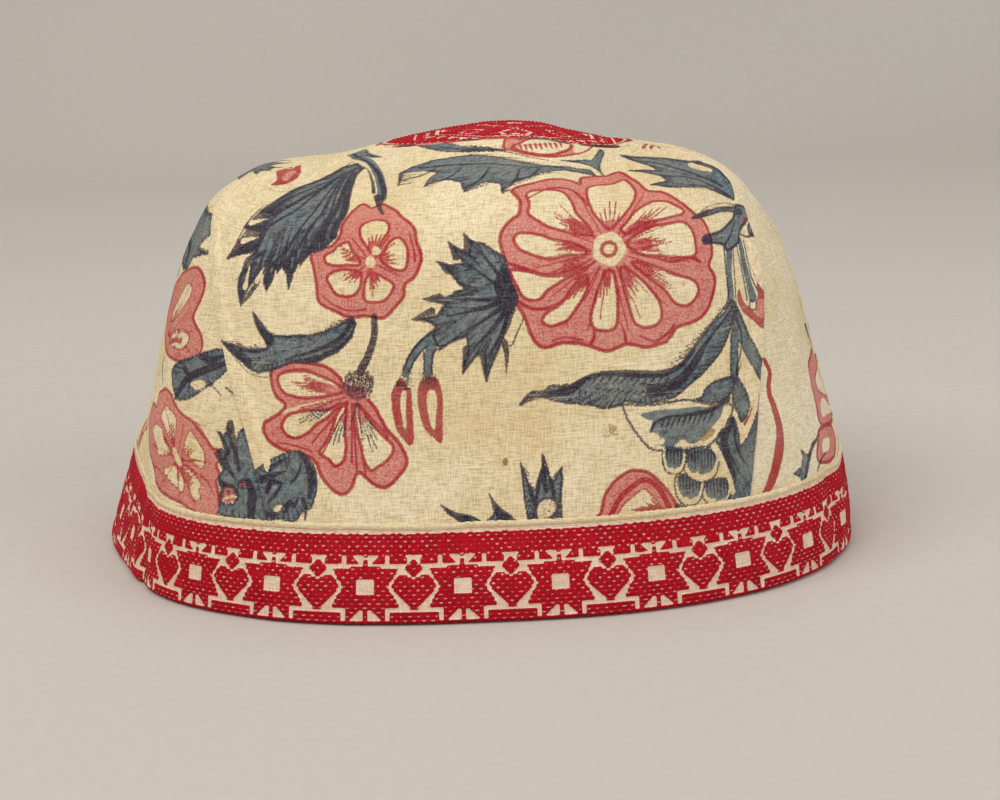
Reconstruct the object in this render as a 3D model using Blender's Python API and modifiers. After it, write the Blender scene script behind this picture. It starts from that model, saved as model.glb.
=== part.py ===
"""Soft brimless cap of printed cotton with a counted-thread embroidered band and crown patch.

Metres, +Z up. The origin is the centre of the opening, on the plane the brim rests on; -Y is the front of the cap
and +X is the wearer's left, seen here on the right. The cap is a stack of thin sewn layers over one smooth form:
printed outer panels and embroidered linen outside, a wadded interlining in the middle, a plain lining and an inner
facing inside. Every layer is cut on the same lattice of columns (round the cap) and levels (from brim to crown), so
the layers nest with an even gap between them.
"""

from math import cos, pi, radians, sin

import bmesh
import bpy
import numpy as np

# ---- driving dimensions, in metres ------------------------------------------------------------
# Half-width of the cap and its height, at even steps along the profile from the brim to the centre of the crown.
HALF_WIDTHS = (0.0954, 0.0946, 0.0921, 0.0878, 0.0832, 0.0777, 0.0709, 0.0630, 0.0535, 0.0426, 0.0298, 0.0152, 0.0)
HEIGHTS = (0.0, 0.0124, 0.0267, 0.0444, 0.0631, 0.0786, 0.0893, 0.0962, 0.1002, 0.1031, 0.1058, 0.1076, 0.1082)
DEPTH_TO_WIDTH = 0.886  # the cap is deeper side to side than front to back
BOXINESS_BRIM = 2.6  # exponent of the plan's superellipse at the brim: over 2 is squarer than an ellipse
BOXINESS_CROWN = 1.95
CROWN_SHIFT = 0.0105  # the soft crown has settled towards +X
CROWN_TILT = 0.028  # and is lower on that side, as a slope
ORIGIN = (0.0022046, 0.0000852)  # moves the form so that its bounding box is centred on the origin
BULGE = 0.005  # how far the slack band bellies out at one side
BULGE_AT = 197.0  # degrees round the cap
BULGE_HEIGHT = 0.030

BAND_TOP = 0.0203  # height of the embroidery on the band
HEM_TOP = 0.0228  # the printed cotton's turned hem, just above the band
LINEN_TOP = 0.0260  # the band's plain linen margin runs up behind the hem
TURNED_EDGE = 0.0019  # height of the edge turned under at the brim
PATCH_RADIUS = 0.0316  # embroidered crown patch, half of its width
PATCH_MARGIN = 0.0370  # its plain linen margin, under the panels
FOLD_WIDTH = 0.0023  # width of the turned edge of the panels round the patch

GAP = 0.0003  # clearance between neighbouring layers
CLOTH = 0.0006  # printed cotton, with its turnings
WADDING = 0.0012
LINING = 0.0005
THREAD = 0.0004  # sewing thread, doubled
DEPTH_OUTER = 0.0  # how far each layer's outer face lies inside the form
DEPTH_LINEN = DEPTH_OUTER + CLOTH + GAP
DEPTH_WADDING = DEPTH_LINEN + CLOTH + GAP
DEPTH_LINING = DEPTH_WADDING + WADDING + GAP
DEPTH_FACING = DEPTH_LINING + LINING + GAP
DEPTH_INSIDE = DEPTH_FACING + CLOTH

# The sewn seams: position along the profile, and degrees round the cap (0 is +X, 270 the front).
SEAM_STATIONS = (0.0, 0.15, 0.25, 0.34, 0.41, 0.48, 0.57, 0.80, 1.0)
SEAM_FRONT_LEFT = (241.0, 238.5, 232.5, 224.0, 217.5, 210.0, 203.0, 196.0, 196.0)
SEAM_FRONT_RIGHT = (306.0, 309.0, 315.0, 322.5, 328.5, 335.0, 342.0, 350.0, 350.0)
SEAM_RIGHT = (346.0, 347.0, 348.2, 349.6, 351.0, 353.0, 355.0, 358.0, 358.0)
# The back of the cap is cut like its front.
SEAM_BACK_RIGHT = tuple(720.0 - a for a in SEAM_FRONT_RIGHT)
SEAM_BACK_LEFT = tuple(360.0 - a for a in SEAM_FRONT_LEFT)
SEAM_CLOSING = tuple(360.0 + a for a in SEAM_BACK_LEFT)

# The lattice: columns between one seam and the next, starting at the left back seam.
PANELS = (
    ("left_side_panel", SEAM_BACK_LEFT, SEAM_FRONT_LEFT, 12),
    ("front_panel", SEAM_FRONT_LEFT, SEAM_FRONT_RIGHT, 14),
    ("right_front_gore", SEAM_FRONT_RIGHT, SEAM_RIGHT, 4),
    ("right_side_panel", SEAM_RIGHT, SEAM_BACK_RIGHT, 8),
    ("back_panel", SEAM_BACK_RIGHT, SEAM_CLOSING, 14),
)
COLUMNS = sum(count for _, _, _, count in PANELS)


# ---- the form ---------------------------------------------------------------------------------
def along(values, s, mirrored):
    """Smooth curve through evenly spaced values. A mirrored one carries on through the centre of the crown."""
    last = len(values) - 1
    points = (2 * values[0] - values[1],) + tuple(values) + ((-1 if mirrored else 1) * values[-2],)
    x = min(max(s, 0.0), 1.0) * last
    i = min(int(x), last - 1)
    f = x - i
    a, b, c, d = points[i : i + 4]
    return 0.5 * (2 * b + (c - a) * f + (2 * a - 5 * b + 4 * c - d) * f**2 + (3 * b - a - 3 * c + d) * f**3)


def ease(value, low, high):
    """0 below low, 1 above high, and smooth between them."""
    f = min(max((value - low) / (high - low), 0.0), 1.0)
    return f * f * (3 - 2 * f)


def form(angle, s):
    """Point of the cap's outer form, at an angle round it and a station from brim (0) to crown (1)."""
    height = along(HEIGHTS, s, False)
    n = BOXINESS_BRIM + (BOXINESS_CROWN - BOXINESS_BRIM) * s
    c, k = cos(angle), sin(angle)
    bulge = BULGE * max(cos(angle - radians(BULGE_AT)), 0.0) ** 3 * max(1 - height / BULGE_HEIGHT, 0.0) ** 1.3
    r = (along(HALF_WIDTHS, s, True) + bulge) * (abs(c) ** n + abs(k) ** n) ** (-1 / n)
    sag = CROWN_TILT * r * c * ease(s, 0.3, 0.7)
    x = r * c + CROWN_SHIFT * ease(s, 0.45, 1.0)
    return np.array((x + ORIGIN[0], r * DEPTH_TO_WIDTH * k + ORIGIN[1], height - sag))


def outward(angle, s):
    """Outward direction of the form. It is level at the brim, so that edges there stay flat."""
    if s > 0.9999:
        return np.array((CROWN_TILT, 0.0, 1.0)) / (1 + CROWN_TILT**2) ** 0.5
    e = 1e-4
    normal = np.cross(form(angle + e, s) - form(angle - e, s), form(angle, s + e) - form(angle, max(s - e, 0.0)))
    if s < 0.012:
        normal[2] = 0.0
    return normal / np.linalg.norm(normal)


def layer_point(angle, s, depth):
    return form(angle, s) - outward(angle, s) * depth


def station(value, goal):
    """Station where a rising measure of the profile reaches the goal."""
    low, high = 0.0, 1.0
    for _ in range(40):
        middle = (low + high) / 2
        low, high = (middle, high) if value(middle) < goal else (low, middle)
    return low


def at_height(height):
    return station(lambda s: along(HEIGHTS, s, False), height)


def at_radius(radius):
    return station(lambda s: -along(HALF_WIDTHS, s, True), -radius)


def seam_angle(seam, s):
    return radians(float(np.interp(s, SEAM_STATIONS, seam)))


def column_angle(column, s):
    """Angle of a lattice column at a station. Columns run along the seams and fan evenly between them."""
    turns, column = divmod(column, COLUMNS)
    for _, first, last, count in PANELS:
        if column <= count:
            a, b = seam_angle(first, s), seam_angle(last, s)
            return a + (b - a) * column / count + 2 * pi * turns
        column -= count
    raise ValueError("no such column")


# ---- scene and materials ----------------------------------------------------------------------
for old in list(bpy.data.objects):
    bpy.data.objects.remove(old)

cap = bpy.data.collections.new("printed_cotton_cap")
bpy.context.scene.collection.children.link(cap)

CREAM = (0.78, 0.70, 0.53)
LINEN = (0.80, 0.70, 0.62)
RED = (0.52, 0.02, 0.05)
WADDING_COLOUR = (0.74, 0.70, 0.62)
LINING_COLOUR = (0.72, 0.66, 0.54)
FACING_COLOUR = (0.68, 0.60, 0.48)
THREAD_COLOUR = (0.82, 0.76, 0.62)


def finish(obj, colour, roughness):
    material = bpy.data.materials.new(obj.name)
    material.use_nodes = True
    shader = material.node_tree.nodes["Principled BSDF"]
    shader.inputs["Base Color"].default_value = (*colour, 1.0)
    shader.inputs["Roughness"].default_value = roughness
    shader.inputs["Metallic"].default_value = 0.0
    obj.data.materials.append(material)
    cap.objects.link(obj)
    return obj


# ---- the kinds of piece -----------------------------------------------------------------------
def sheet(name, columns, levels, depth, thickness, colour, roughness=0.9, round_cap=False, edge_gap=0.0):
    """A cut piece of cloth: part of the lattice, laid on the form at a depth and thickened inwards.

    columns are the lattice columns it covers. A piece that goes all the way round is closed at its last column.
    round_cap runs the last level into the centre of the crown. edge_gap pulls the two side edges in from their seams.
    """
    closed = columns[-1] - columns[0] == COLUMNS
    mesh = bmesh.new()
    bmesh.ops.create_grid(mesh, x_segments=len(columns) - 1, y_segments=len(levels) - 1, size=1.0)
    for vert in mesh.verts:
        i = round((vert.co.x + 1) / 2 * (len(columns) - 1))
        j = round((vert.co.y + 1) / 2 * (len(levels) - 1))
        s = levels[j]
        angle = column_angle(columns[i], s)
        if edge_gap and not closed and i in (0, len(columns) - 1):
            step = np.linalg.norm(form(angle + 1e-4, s) - form(angle, s)) / 1e-4
            angle += (edge_gap if i == 0 else -edge_gap) / step
        vert.co = layer_point(angle, s, depth)
    if closed or round_cap:
        bmesh.ops.remove_doubles(mesh, verts=mesh.verts, dist=1e-6)
    bmesh.ops.recalc_face_normals(mesh, faces=mesh.faces)
    if sum(face.normal.dot(face.calc_center_median()) for face in mesh.faces) < 0:
        bmesh.ops.reverse_faces(mesh, faces=mesh.faces)
    data = bpy.data.meshes.new(name)
    mesh.to_mesh(data)
    mesh.free()
    data.shade_smooth()
    obj = finish(bpy.data.objects.new(name, data), colour, roughness)
    cloth = obj.modifiers.new("cloth thickness", "SOLIDIFY")
    cloth.thickness = thickness
    cloth.offset = -1.0
    cloth.use_even_offset = True
    return obj


def turned_edge(name, section, columns, colour, roughness=0.9):
    """A rolled or folded edge that runs all the way round: a closed section swept along the form.

    section lists its corners in order, as (station, depth, height), where a height of None leaves the form's own.
    """
    mesh = bmesh.new()
    bmesh.ops.create_grid(mesh, x_segments=len(columns) - 1, y_segments=len(section), size=1.0)
    for vert in mesh.verts:
        i = round((vert.co.x + 1) / 2 * (len(columns) - 1))
        j = round((vert.co.y + 1) / 2 * len(section)) % len(section)
        s, depth, height = section[j]
        point = layer_point(column_angle(columns[i], s), s, depth)
        if height is not None:
            point[2] = height
        vert.co = point
    bmesh.ops.remove_doubles(mesh, verts=mesh.verts, dist=1e-6)
    bmesh.ops.recalc_face_normals(mesh, faces=mesh.faces)
    data = bpy.data.meshes.new(name)
    mesh.to_mesh(data)
    mesh.free()
    return finish(bpy.data.objects.new(name, data), colour, roughness)


def thread(name, s, depth, columns, colour=THREAD_COLOUR):
    """A line of sewing thread, run right round the cap at one station."""
    curve = bpy.data.curves.new(name, "CURVE")
    curve.dimensions = "3D"
    curve.bevel_depth = THREAD / 2
    curve.bevel_resolution = 0
    line = curve.splines.new("POLY")
    line.points.add(len(columns) - 2)
    for point, column in zip(line.points, columns[:-1]):
        point.co = (*layer_point(column_angle(column, s), s, depth), 1.0)
    line.use_cyclic_u = True
    return finish(bpy.data.objects.new(name, curve), colour, 0.7)


# ---- the cap ----------------------------------------------------------------------------------
ALL = list(range(COLUMNS + 1))
COARSE = list(range(0, COLUMNS + 1, 2))

hem_top = at_height(HEM_TOP)
band_top = at_height(BAND_TOP)
fold_outer = at_radius(PATCH_RADIUS + FOLD_WIDTH + GAP)
fold_inner = at_radius(PATCH_RADIUS + GAP)
panel_low = at_height(HEM_TOP + GAP)
panel_high = at_radius(PATCH_RADIUS + FOLD_WIDTH + 2 * GAP)
patch_edge = at_radius(PATCH_RADIUS)
margin_edge = at_radius(PATCH_MARGIN)
body_levels = [panel_low + (panel_high - panel_low) * i / 12 for i in range(13)]

# Outer layer: five printed panels that meet at the seams.
first = 0
for panel, _, _, count in PANELS:
    sheet(panel, list(range(first, first + count + 1)), body_levels, DEPTH_OUTER, CLOTH, CREAM, edge_gap=GAP / 2)
    first += count

# Their lower edge is turned up into a hem, and their upper edge is turned in round the crown patch.
hem_section = [
    (at_height(BAND_TOP + GAP), 0.0002, None),
    (at_height(BAND_TOP + GAP), 0.0006, None),
    (hem_top, 0.0006, None),
    (hem_top, 0.0, None),
    (at_height(HEM_TOP - 0.0006), -0.0005, None),
    (at_height(BAND_TOP + GAP + 0.0005), -0.0005, None),
]
turned_edge("panel_hem_fold", hem_section, ALL, CREAM)
fold_section = [
    (fold_outer, 0.0, None),
    (fold_outer, 0.0006, None),
    (fold_inner, 0.0006, None),
    (fold_inner, 0.0, None),
    ((fold_inner * 3 + fold_outer) / 4, -0.0004, None),
    ((fold_inner + fold_outer * 3) / 4, -0.0004, None),
]
turned_edge("crown_edge_fold", fold_section, ALL, CREAM)

# The band: counted-thread embroidery worked on a strip of linen, whose plain margin runs up behind the hem.
edge_low = at_height(TURNED_EDGE + 2 * GAP)
linen_low = at_height(TURNED_EDGE + 3 * GAP)
sheet("band_embroidery", ALL, [edge_low, at_height(0.0110), band_top], DEPTH_OUTER, CLOTH, RED, 0.6)
sheet("band_linen", ALL, [linen_low, at_height(0.0110), band_top, at_height(LINEN_TOP)], DEPTH_LINEN, CLOTH, LINEN)
turned_section = [
    (0.0, DEPTH_OUTER + 0.0003, 0.0),
    (0.0, DEPTH_INSIDE - 0.0003, 0.0),
    (0.002, DEPTH_INSIDE, 0.0004),
    (0.004, DEPTH_INSIDE, TURNED_EDGE - 0.0003),
    (0.004, DEPTH_INSIDE - 0.0003, TURNED_EDGE),
    (0.004, DEPTH_OUTER + 0.0003, TURNED_EDGE),
    (0.004, DEPTH_OUTER, TURNED_EDGE - 0.0003),
    (0.002, DEPTH_OUTER, 0.0004),
]
turned_edge("band_turned_edge", turned_section, ALL, RED, 0.6)

# The crown patch: the same work on a round of linen, let in under the turned edge of the panels.
patch_levels = [patch_edge + (1.0 - patch_edge) * i / 3 for i in range(4)]
sheet("crown_embroidery", ALL, patch_levels, DEPTH_OUTER, CLOTH, RED, 0.6, round_cap=True)
linen_levels = [margin_edge] + patch_levels
sheet("crown_linen", ALL, linen_levels, DEPTH_LINEN, CLOTH, LINEN, round_cap=True)

# Wadded interlining, which gives the cap its body, and the lining inside it. Both are cut in four walls and a crown.
wall_low = at_height(TURNED_EDGE + 6 * GAP)
wall_high = at_radius(0.0400)
crown_edge = at_radius(0.0396)
wall_levels = [wall_low, at_height(0.0205), at_height(0.0400), at_height(0.0600), at_height(0.0770)]
wall_levels += [at_height(0.0880), at_height(0.0960), wall_high]
crown_levels = [crown_edge, (crown_edge + 1.0) / 2, 1.0]
WALLS = (("left", 0, 12), ("front", 12, 26), ("right", 26, 38), ("back", 38, 52))
for side, start, end in WALLS:
    span = list(range(start, end + 1, 2))
    sheet("interlining_" + side, span, wall_levels, DEPTH_WADDING, WADDING, WADDING_COLOUR, 0.95, edge_gap=1.5 * GAP)
    sheet("lining_" + side, span, wall_levels, DEPTH_LINING, LINING, LINING_COLOUR, edge_gap=GAP)
sheet("interlining_crown", COARSE, crown_levels, DEPTH_WADDING, WADDING, WADDING_COLOUR, 0.95, round_cap=True)
sheet("lining_crown", COARSE, crown_levels, DEPTH_LINING, LINING, LINING_COLOUR, round_cap=True)
sheet("inner_facing", COARSE, wall_levels[:2], DEPTH_FACING, CLOTH, FACING_COLOUR)

# Sewing threads: along the hem, round the crown patch and round the inner facing.
thread("hem_thread", at_height(0.0215), -0.0005 - GAP - THREAD / 2, ALL)
thread("crown_thread", (fold_inner + fold_outer) / 2, -0.0004 - GAP - THREAD / 2, ALL)
thread("facing_thread", at_height(0.0190), DEPTH_INSIDE + GAP + THREAD / 2, COARSE)
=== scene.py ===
"""How the printed cotton cap looks: its printed cloth, counted-thread embroidery, hems, wadding and lining.

Every piece is laid on the same smooth form as the frame. Lengths inside are in mm and turn to metres as a mesh is made.
"""

from math import pi, radians

import bpy
import numpy as np
from mathutils import Euler, Matrix


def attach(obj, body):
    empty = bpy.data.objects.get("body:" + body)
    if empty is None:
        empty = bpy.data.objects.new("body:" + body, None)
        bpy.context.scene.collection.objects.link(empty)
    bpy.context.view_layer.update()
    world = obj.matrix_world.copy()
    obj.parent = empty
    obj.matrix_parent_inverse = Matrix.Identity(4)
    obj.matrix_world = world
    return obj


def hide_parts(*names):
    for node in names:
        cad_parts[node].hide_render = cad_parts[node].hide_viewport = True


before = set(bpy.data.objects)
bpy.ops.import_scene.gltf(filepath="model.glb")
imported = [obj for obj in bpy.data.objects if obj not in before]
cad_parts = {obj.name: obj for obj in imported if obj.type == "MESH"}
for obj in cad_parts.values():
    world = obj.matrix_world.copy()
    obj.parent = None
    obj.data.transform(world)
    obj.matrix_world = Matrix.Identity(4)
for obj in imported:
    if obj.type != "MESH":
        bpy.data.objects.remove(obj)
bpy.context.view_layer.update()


# ------------------------------------------------------------------ the form (millimetres)
HALF_WIDTHS = np.array((95.4, 94.6, 92.1, 87.8, 83.2, 77.7, 70.9, 63.0, 53.5, 42.6, 29.8, 15.2, 0.0))
HEIGHTS = np.array((0.0, 12.4, 26.7, 44.4, 63.1, 78.6, 89.3, 96.2, 100.2, 103.1, 105.8, 107.6, 108.2))
DEPTH_TO_WIDTH = 0.886
ORIGIN_X, ORIGIN_Y = 2.2046, 0.0852


def along(values, s, mirrored):
    last = len(values) - 1
    points = np.concatenate([[2 * values[0] - values[1]], values, [(-1 if mirrored else 1) * values[-2]]])
    x = np.clip(s, 0.0, 1.0) * last
    i = np.minimum(x.astype(int), last - 1)
    f = x - i
    a, b, c, d = points[i], points[i + 1], points[i + 2], points[i + 3]
    return 0.5 * (2 * b + (c - a) * f + (2 * a - 5 * b + 4 * c - d) * f**2 + (3 * b - a - 3 * c + d) * f**3)


def ease(value, low, high):
    f = np.clip((value - low) / (high - low), 0.0, 1.0)
    return f * f * (3 - 2 * f)


def form(angle, s):
    """The cap's outer form: angle round it in radians, station from brim (0) to crown (1)."""
    angle, s = np.broadcast_arrays(np.asarray(angle, float), np.asarray(s, float))
    height = along(HEIGHTS, s, False)
    n = 2.6 - 0.65 * s
    c, k = np.cos(angle), np.sin(angle)
    bulge = 5.0 * np.clip(np.cos(angle - radians(197.0)), 0, None) ** 3 * np.clip(1 - height / 30.0, 0, None) ** 1.3
    r = (along(HALF_WIDTHS, s, True) + bulge) * (np.abs(c) ** n + np.abs(k) ** n) ** (-1 / n)
    sag = 0.028 * r * c * ease(s, 0.3, 0.7)
    x = r * c + 10.5 * ease(s, 0.45, 1.0)
    return np.stack([x + ORIGIN_X, r * DEPTH_TO_WIDTH * k + ORIGIN_Y, height - sag], -1)


def outward(angle, s):
    e = 1e-4
    normal = np.cross(form(angle + e, s) - form(angle - e, s), form(angle, s + e) - form(angle, np.maximum(s - e, 0)))
    size = np.linalg.norm(normal, axis=-1, keepdims=True)
    up = np.zeros_like(normal)
    up[..., 2] = 1
    return np.where(size > 1e-9, normal / np.maximum(size, 1e-9), up)


def station_at(goal, rising=True, values=HEIGHTS):
    s = np.linspace(0, 1, 4001)
    v = along(values, s, not rising)
    return float(np.interp(goal, v, s) if rising else np.interp(-goal, -v, s))


STATIONS = (0.0, 0.15, 0.25, 0.34, 0.41, 0.48, 0.57, 0.80, 1.0)
SEAMS = {
    "front_left": (241.0, 238.5, 232.5, 224.0, 217.5, 210.0, 203.0, 196.0, 196.0),
    "front_right": (306.0, 309.0, 315.0, 322.5, 328.5, 335.0, 342.0, 350.0, 350.0),
    "right": (346.0, 347.0, 348.2, 349.6, 351.0, 353.0, 355.0, 358.0, 358.0),
}
SEAMS["back_right"] = tuple(720.0 - a for a in SEAMS["front_right"])
SEAMS["back_left"] = tuple(360.0 - a for a in SEAMS["front_left"])
SEAMS["closing"] = tuple(360.0 + a for a in SEAMS["back_left"])


def seam(name, s):
    """Angle of a seam at a station, smoothed."""
    fine = np.linspace(0, 1, 201)
    a = np.interp(fine, STATIONS, SEAMS[name])
    kernel = np.hanning(27)
    padded = np.concatenate([2 * a[0] - a[13:0:-1], a, 2 * a[-1] - a[-2:-15:-1]])
    a = np.convolve(padded, kernel / kernel.sum(), "same")[13:-13]
    return np.radians(np.interp(s, fine, a))


# ------------------------------------------------------------------ the front elevation
EYE = np.array((4.0 + ORIGIN_X, -570.0 + ORIGIN_Y, 156.7))
PITCH, ROLL = radians(12.04), radians(2.17)


def elevation(p):
    """Where a point shows in the front elevation, on a board of 1000 by 800."""
    v = p - EYE
    up = np.array((0, np.sin(PITCH), np.cos(PITCH)))
    ahead = np.array((0, np.cos(PITCH), -np.sin(PITCH)))
    x, y, d = v[..., 0], v @ up, v @ ahead
    u, w = 2166.0 * x / d, 2166.0 * y / d
    c, k = np.cos(ROLL), np.sin(ROLL)
    return np.stack([500 + u * c - w * k, 400 - (u * k + w * c) - 2.6], -1)


# ------------------------------------------------------------------ cloth coordinates
class Cloth:
    """Lays out a stretch of the form flat: u mm round from a middle angle, v mm up from the hem."""

    def __init__(self, middle, low, high):
        self.a = np.radians(np.linspace(low, high, 361))
        self.s = np.linspace(0, 1, 301)
        g = form(self.a[None, :], self.s[:, None])
        du = np.linalg.norm(np.diff(g, axis=1), axis=-1)
        u = np.concatenate([np.zeros((len(self.s), 1)), np.cumsum(du, 1)], 1)
        dv = np.linalg.norm(np.diff(g, axis=0), axis=-1)
        v = np.concatenate([np.zeros((1, len(self.a))), np.cumsum(dv, 0)], 0)
        mid = np.array([np.interp(radians(middle), self.a, row) for row in u])
        self.u = u - mid[:, None]
        hem = np.interp(station_at(22.6), self.s, np.arange(len(self.s)))
        i = int(hem)
        self.v = v - (v[i] * (1 - (hem - i)) + v[i + 1] * (hem - i))[None, :]

    def __call__(self, angle, s):
        x = np.clip((angle - self.a[0]) / (self.a[1] - self.a[0]), 0, len(self.a) - 1.001)
        y = np.clip(s * (len(self.s) - 1), 0, len(self.s) - 1.001)
        i, j = x.astype(int), y.astype(int)
        f, g = x - i, y - j
        out = []
        for t in (self.u, self.v):
            out.append((t[j, i] * (1 - f) + t[j, i + 1] * f) * (1 - g) + (t[j + 1, i] * (1 - f) + t[j + 1, i + 1] * f) * g)
        return np.stack(out, -1)

    def look(self, angle, s):
        """Where a point of the cloth, as it lies, shows on the board."""
        x = np.clip((angle - self.a[0]) / (self.a[1] - self.a[0]), 0, len(self.a) - 1.001)
        y = np.clip(s * (len(self.s) - 1), 0, len(self.s) - 1.001)
        i, j = x.astype(int), y.astype(int)
        f, g = (x - i)[:, None], (y - j)[:, None]
        t = self.shown
        return (t[j, i] * (1 - f) + t[j, i + 1] * f) * (1 - g) + (t[j + 1, i] * (1 - f) + t[j + 1, i + 1] * f) * g

    def from_board(self, points):
        """Cloth coordinates of points given on the front elevation."""
        points = np.asarray(points, float).reshape(-1, 2)
        if not hasattr(self, "grid"):
            A, S = np.meshgrid(self.a, self.s)
            g = laid(A, S)
            facing = ((EYE - g) * outward(A, S)).sum(-1) > 0
            self.shown = elevation(g)
            e = np.where(facing[..., None], self.shown, 1e6)[::2, ::2]
            self.grid = (A[::2, ::2].ravel(), S[::2, ::2].ravel(), e.reshape(-1, 2))
        A, S, e = self.grid
        k = np.array([((e - p) ** 2).sum(1).argmin() for p in points])
        a, s = A[k].copy(), S[k].copy()
        for _ in range(5):
            h = 4e-3
            f0 = self.look(a, s)
            fa = (self.look(a + h, s) - self.look(a - h, s)) / (2 * h)
            fs = (self.look(a, s + h) - self.look(a, s - h)) / (2 * h)
            det = fa[:, 0] * fs[:, 1] - fa[:, 1] * fs[:, 0]
            det = np.where(np.abs(det) < 1e3, np.sign(det + 1e-9) * 1e3, det)
            d = points - f0
            a += np.clip((d[:, 0] * fs[:, 1] - d[:, 1] * fs[:, 0]) / det, -0.02, 0.02)
            s += np.clip((fa[:, 0] * d[:, 1] - fa[:, 1] * d[:, 0]) / det, -0.01, 0.01)
            s = np.clip(s, 0, 1)
        return self(a, s)


# ------------------------------------------------------------------ drawing with distance fields
def smooth(points, closed, step=1.2):
    """A Catmull-Rom curve through the points, sampled every step mm or so."""
    p = np.asarray(points, float)
    if len(p) < 3:
        n = max(int(np.linalg.norm(p[-1] - p[0]) / step), 1)
        t = np.linspace(0, 1, n + 1)[:, None]
        return p[0] * (1 - t) + p[-1] * t
    if closed:
        q = np.concatenate([p[-1:], p, p[:2]])
        spans = len(p)
    else:
        q = np.concatenate([2 * p[:1] - p[1:2], p, 2 * p[-1:] - p[-2:-1]])
        spans = len(p) - 1
    out = []
    for i in range(spans):
        a, b, c, d = q[i : i + 4]
        n = max(int(np.ceil(np.linalg.norm(c - b) / step)), 1)
        f = (np.arange(n) / n)[:, None]
        out.append(0.5 * (2 * b + (c - a) * f + (2 * a - 5 * b + 4 * c - d) * f**2 + (3 * b - a - 3 * c + d) * f**3))
    out = np.concatenate(out)
    return out if closed else np.concatenate([out, p[-1:]])


def by_hand(q, closed, amount=0.16, step=0.9):
    """The same line cut by hand: short straight runs that wander a little."""
    out = []
    ends = list(zip(q, np.concatenate([q[1:], q[:1]]))) if closed else list(zip(q[:-1], q[1:]))
    for a, b in ends:
        n = max(int(np.linalg.norm(b - a) / step), 1)
        out.append(a + (b - a) * (np.arange(n) / n)[:, None])
    q = np.concatenate(out) if closed else np.concatenate(out + [q[-1:]])
    at = np.concatenate([q, np.zeros((len(q), 1))], 1)
    return q + amount * np.stack([noise(at, 1.9, 1.3), noise(at, 1.7, 2.6)], -1)


class Print:
    """Four inks and a stain as signed distances in mm, negative where there is ink."""

    inks = ("pink", "red", "blue", "dark", "brown")

    def __init__(self, uv, cloth):
        self.p = np.asarray(uv, float)
        self.cloth = cloth
        self.f = {ink: np.full(len(self.p), 4.0) for ink in self.inks}

    def near(self, pts, margin):
        lo, hi = pts.min(0) - margin, pts.max(0) + margin
        return np.where(((self.p >= lo) & (self.p <= hi)).all(1))[0]

    @staticmethod
    def to_line(p, q, widths=None):
        """Distance from p to an open or closed polyline q, less a half-width that can vary along it."""
        best = np.full(len(p), 1e9)
        for i in range(len(q) - 1):
            a, d = q[i], q[i + 1] - q[i]
            t = np.clip(((p - a) @ d) / max(d @ d, 1e-12), 0, 1)
            w = 0.0 if widths is None else widths[i] * (1 - t) + widths[i + 1] * t
            best = np.minimum(best, np.linalg.norm(p - a - t[:, None] * d, axis=1) - w)
        return best

    @staticmethod
    def inside(p, q):
        odd = np.zeros(len(p), bool)
        for i in range(len(q)):
            (x0, y0), (x1, y1) = q[i - 1], q[i]
            if y0 == y1:
                continue
            hit = ((y0 > p[:, 1]) != (y1 > p[:, 1])) & (p[:, 0] < (x1 - x0) * (p[:, 1] - y0) / (y1 - y0) + x0)
            odd ^= hit
        return odd

    def shape(self, pts, fill=None, line=None, width=0.5, cut=(), soft=True, board=True, grow=0.0):
        """A closed shape: filled with one ink, edged with another, and cut out of any others."""
        q = self.cloth.from_board(pts) if board else np.asarray(pts, float)
        q = by_hand(smooth(q, True) if soft else q, True)
        k = self.near(q, 3.0)
        if not len(k):
            return
        p = self.p[k]
        d = self.to_line(p, np.concatenate([q, q[:1]]))
        sd = np.where(self.inside(p, q), -d, d) - grow
        for ink in cut:
            self.f[ink][k] = np.maximum(self.f[ink][k], -sd)
        if fill:
            self.f[fill][k] = np.minimum(self.f[fill][k], sd)
        if line:
            self.f[line][k] = np.minimum(self.f[line][k], d - width / 2)

    def stroke(self, pts, ink, w0=0.6, w1=None, wm=None, board=True, cut=(), soft=True):
        """A brush stroke along a curve: width w0 at its start, wm at its middle and w1 at its end."""
        q = self.cloth.from_board(pts) if board else np.asarray(pts, float)
        q = by_hand(smooth(q, False, 1.0) if soft else q, False, 0.10)
        t = np.concatenate([[0], np.cumsum(np.linalg.norm(np.diff(q, axis=0), axis=1))])
        t = t / max(t[-1], 1e-9)
        w1 = w0 if w1 is None else w1
        wm = (w0 + w1) / 2 if wm is None else wm
        w = np.interp(t, (0, 0.5, 1), (w0, wm, w1)) / 2 * (0.82 if ink == "dark" else 1.0)
        k = self.near(q, 3.0)
        if not len(k):
            return
        d = self.to_line(self.p[k], q, w)
        for other in cut:
            self.f[other][k] = np.maximum(self.f[other][k], -d)
        if ink:
            self.f[ink][k] = np.minimum(self.f[ink][k], d)


    def grain(self, pts, ink, level=0.0, board=True, over=False):
        """A patch where the ink took only in specks. over thins ink that is already there instead of adding any."""
        q = self.cloth.from_board(pts) if board else np.asarray(pts, float)
        q = by_hand(smooth(q, True), True)
        k = self.near(q, 2.0)
        if not len(k):
            return
        p = self.p[k]
        d = self.to_line(p, np.concatenate([q, q[:1]]))
        sd = np.where(self.inside(p, q), -d, d)
        if over:
            self.f[ink][k] = np.where(sd < 0, np.maximum(self.f[ink][k], level), self.f[ink][k])
        else:
            self.f[ink][k] = np.minimum(self.f[ink][k], np.maximum(sd, level))


def rot(p, a):
    c, k = np.cos(a), np.sin(a)
    return np.stack([p[..., 0] * c - p[..., 1] * k, p[..., 0] * k + p[..., 1] * c], -1)


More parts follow.
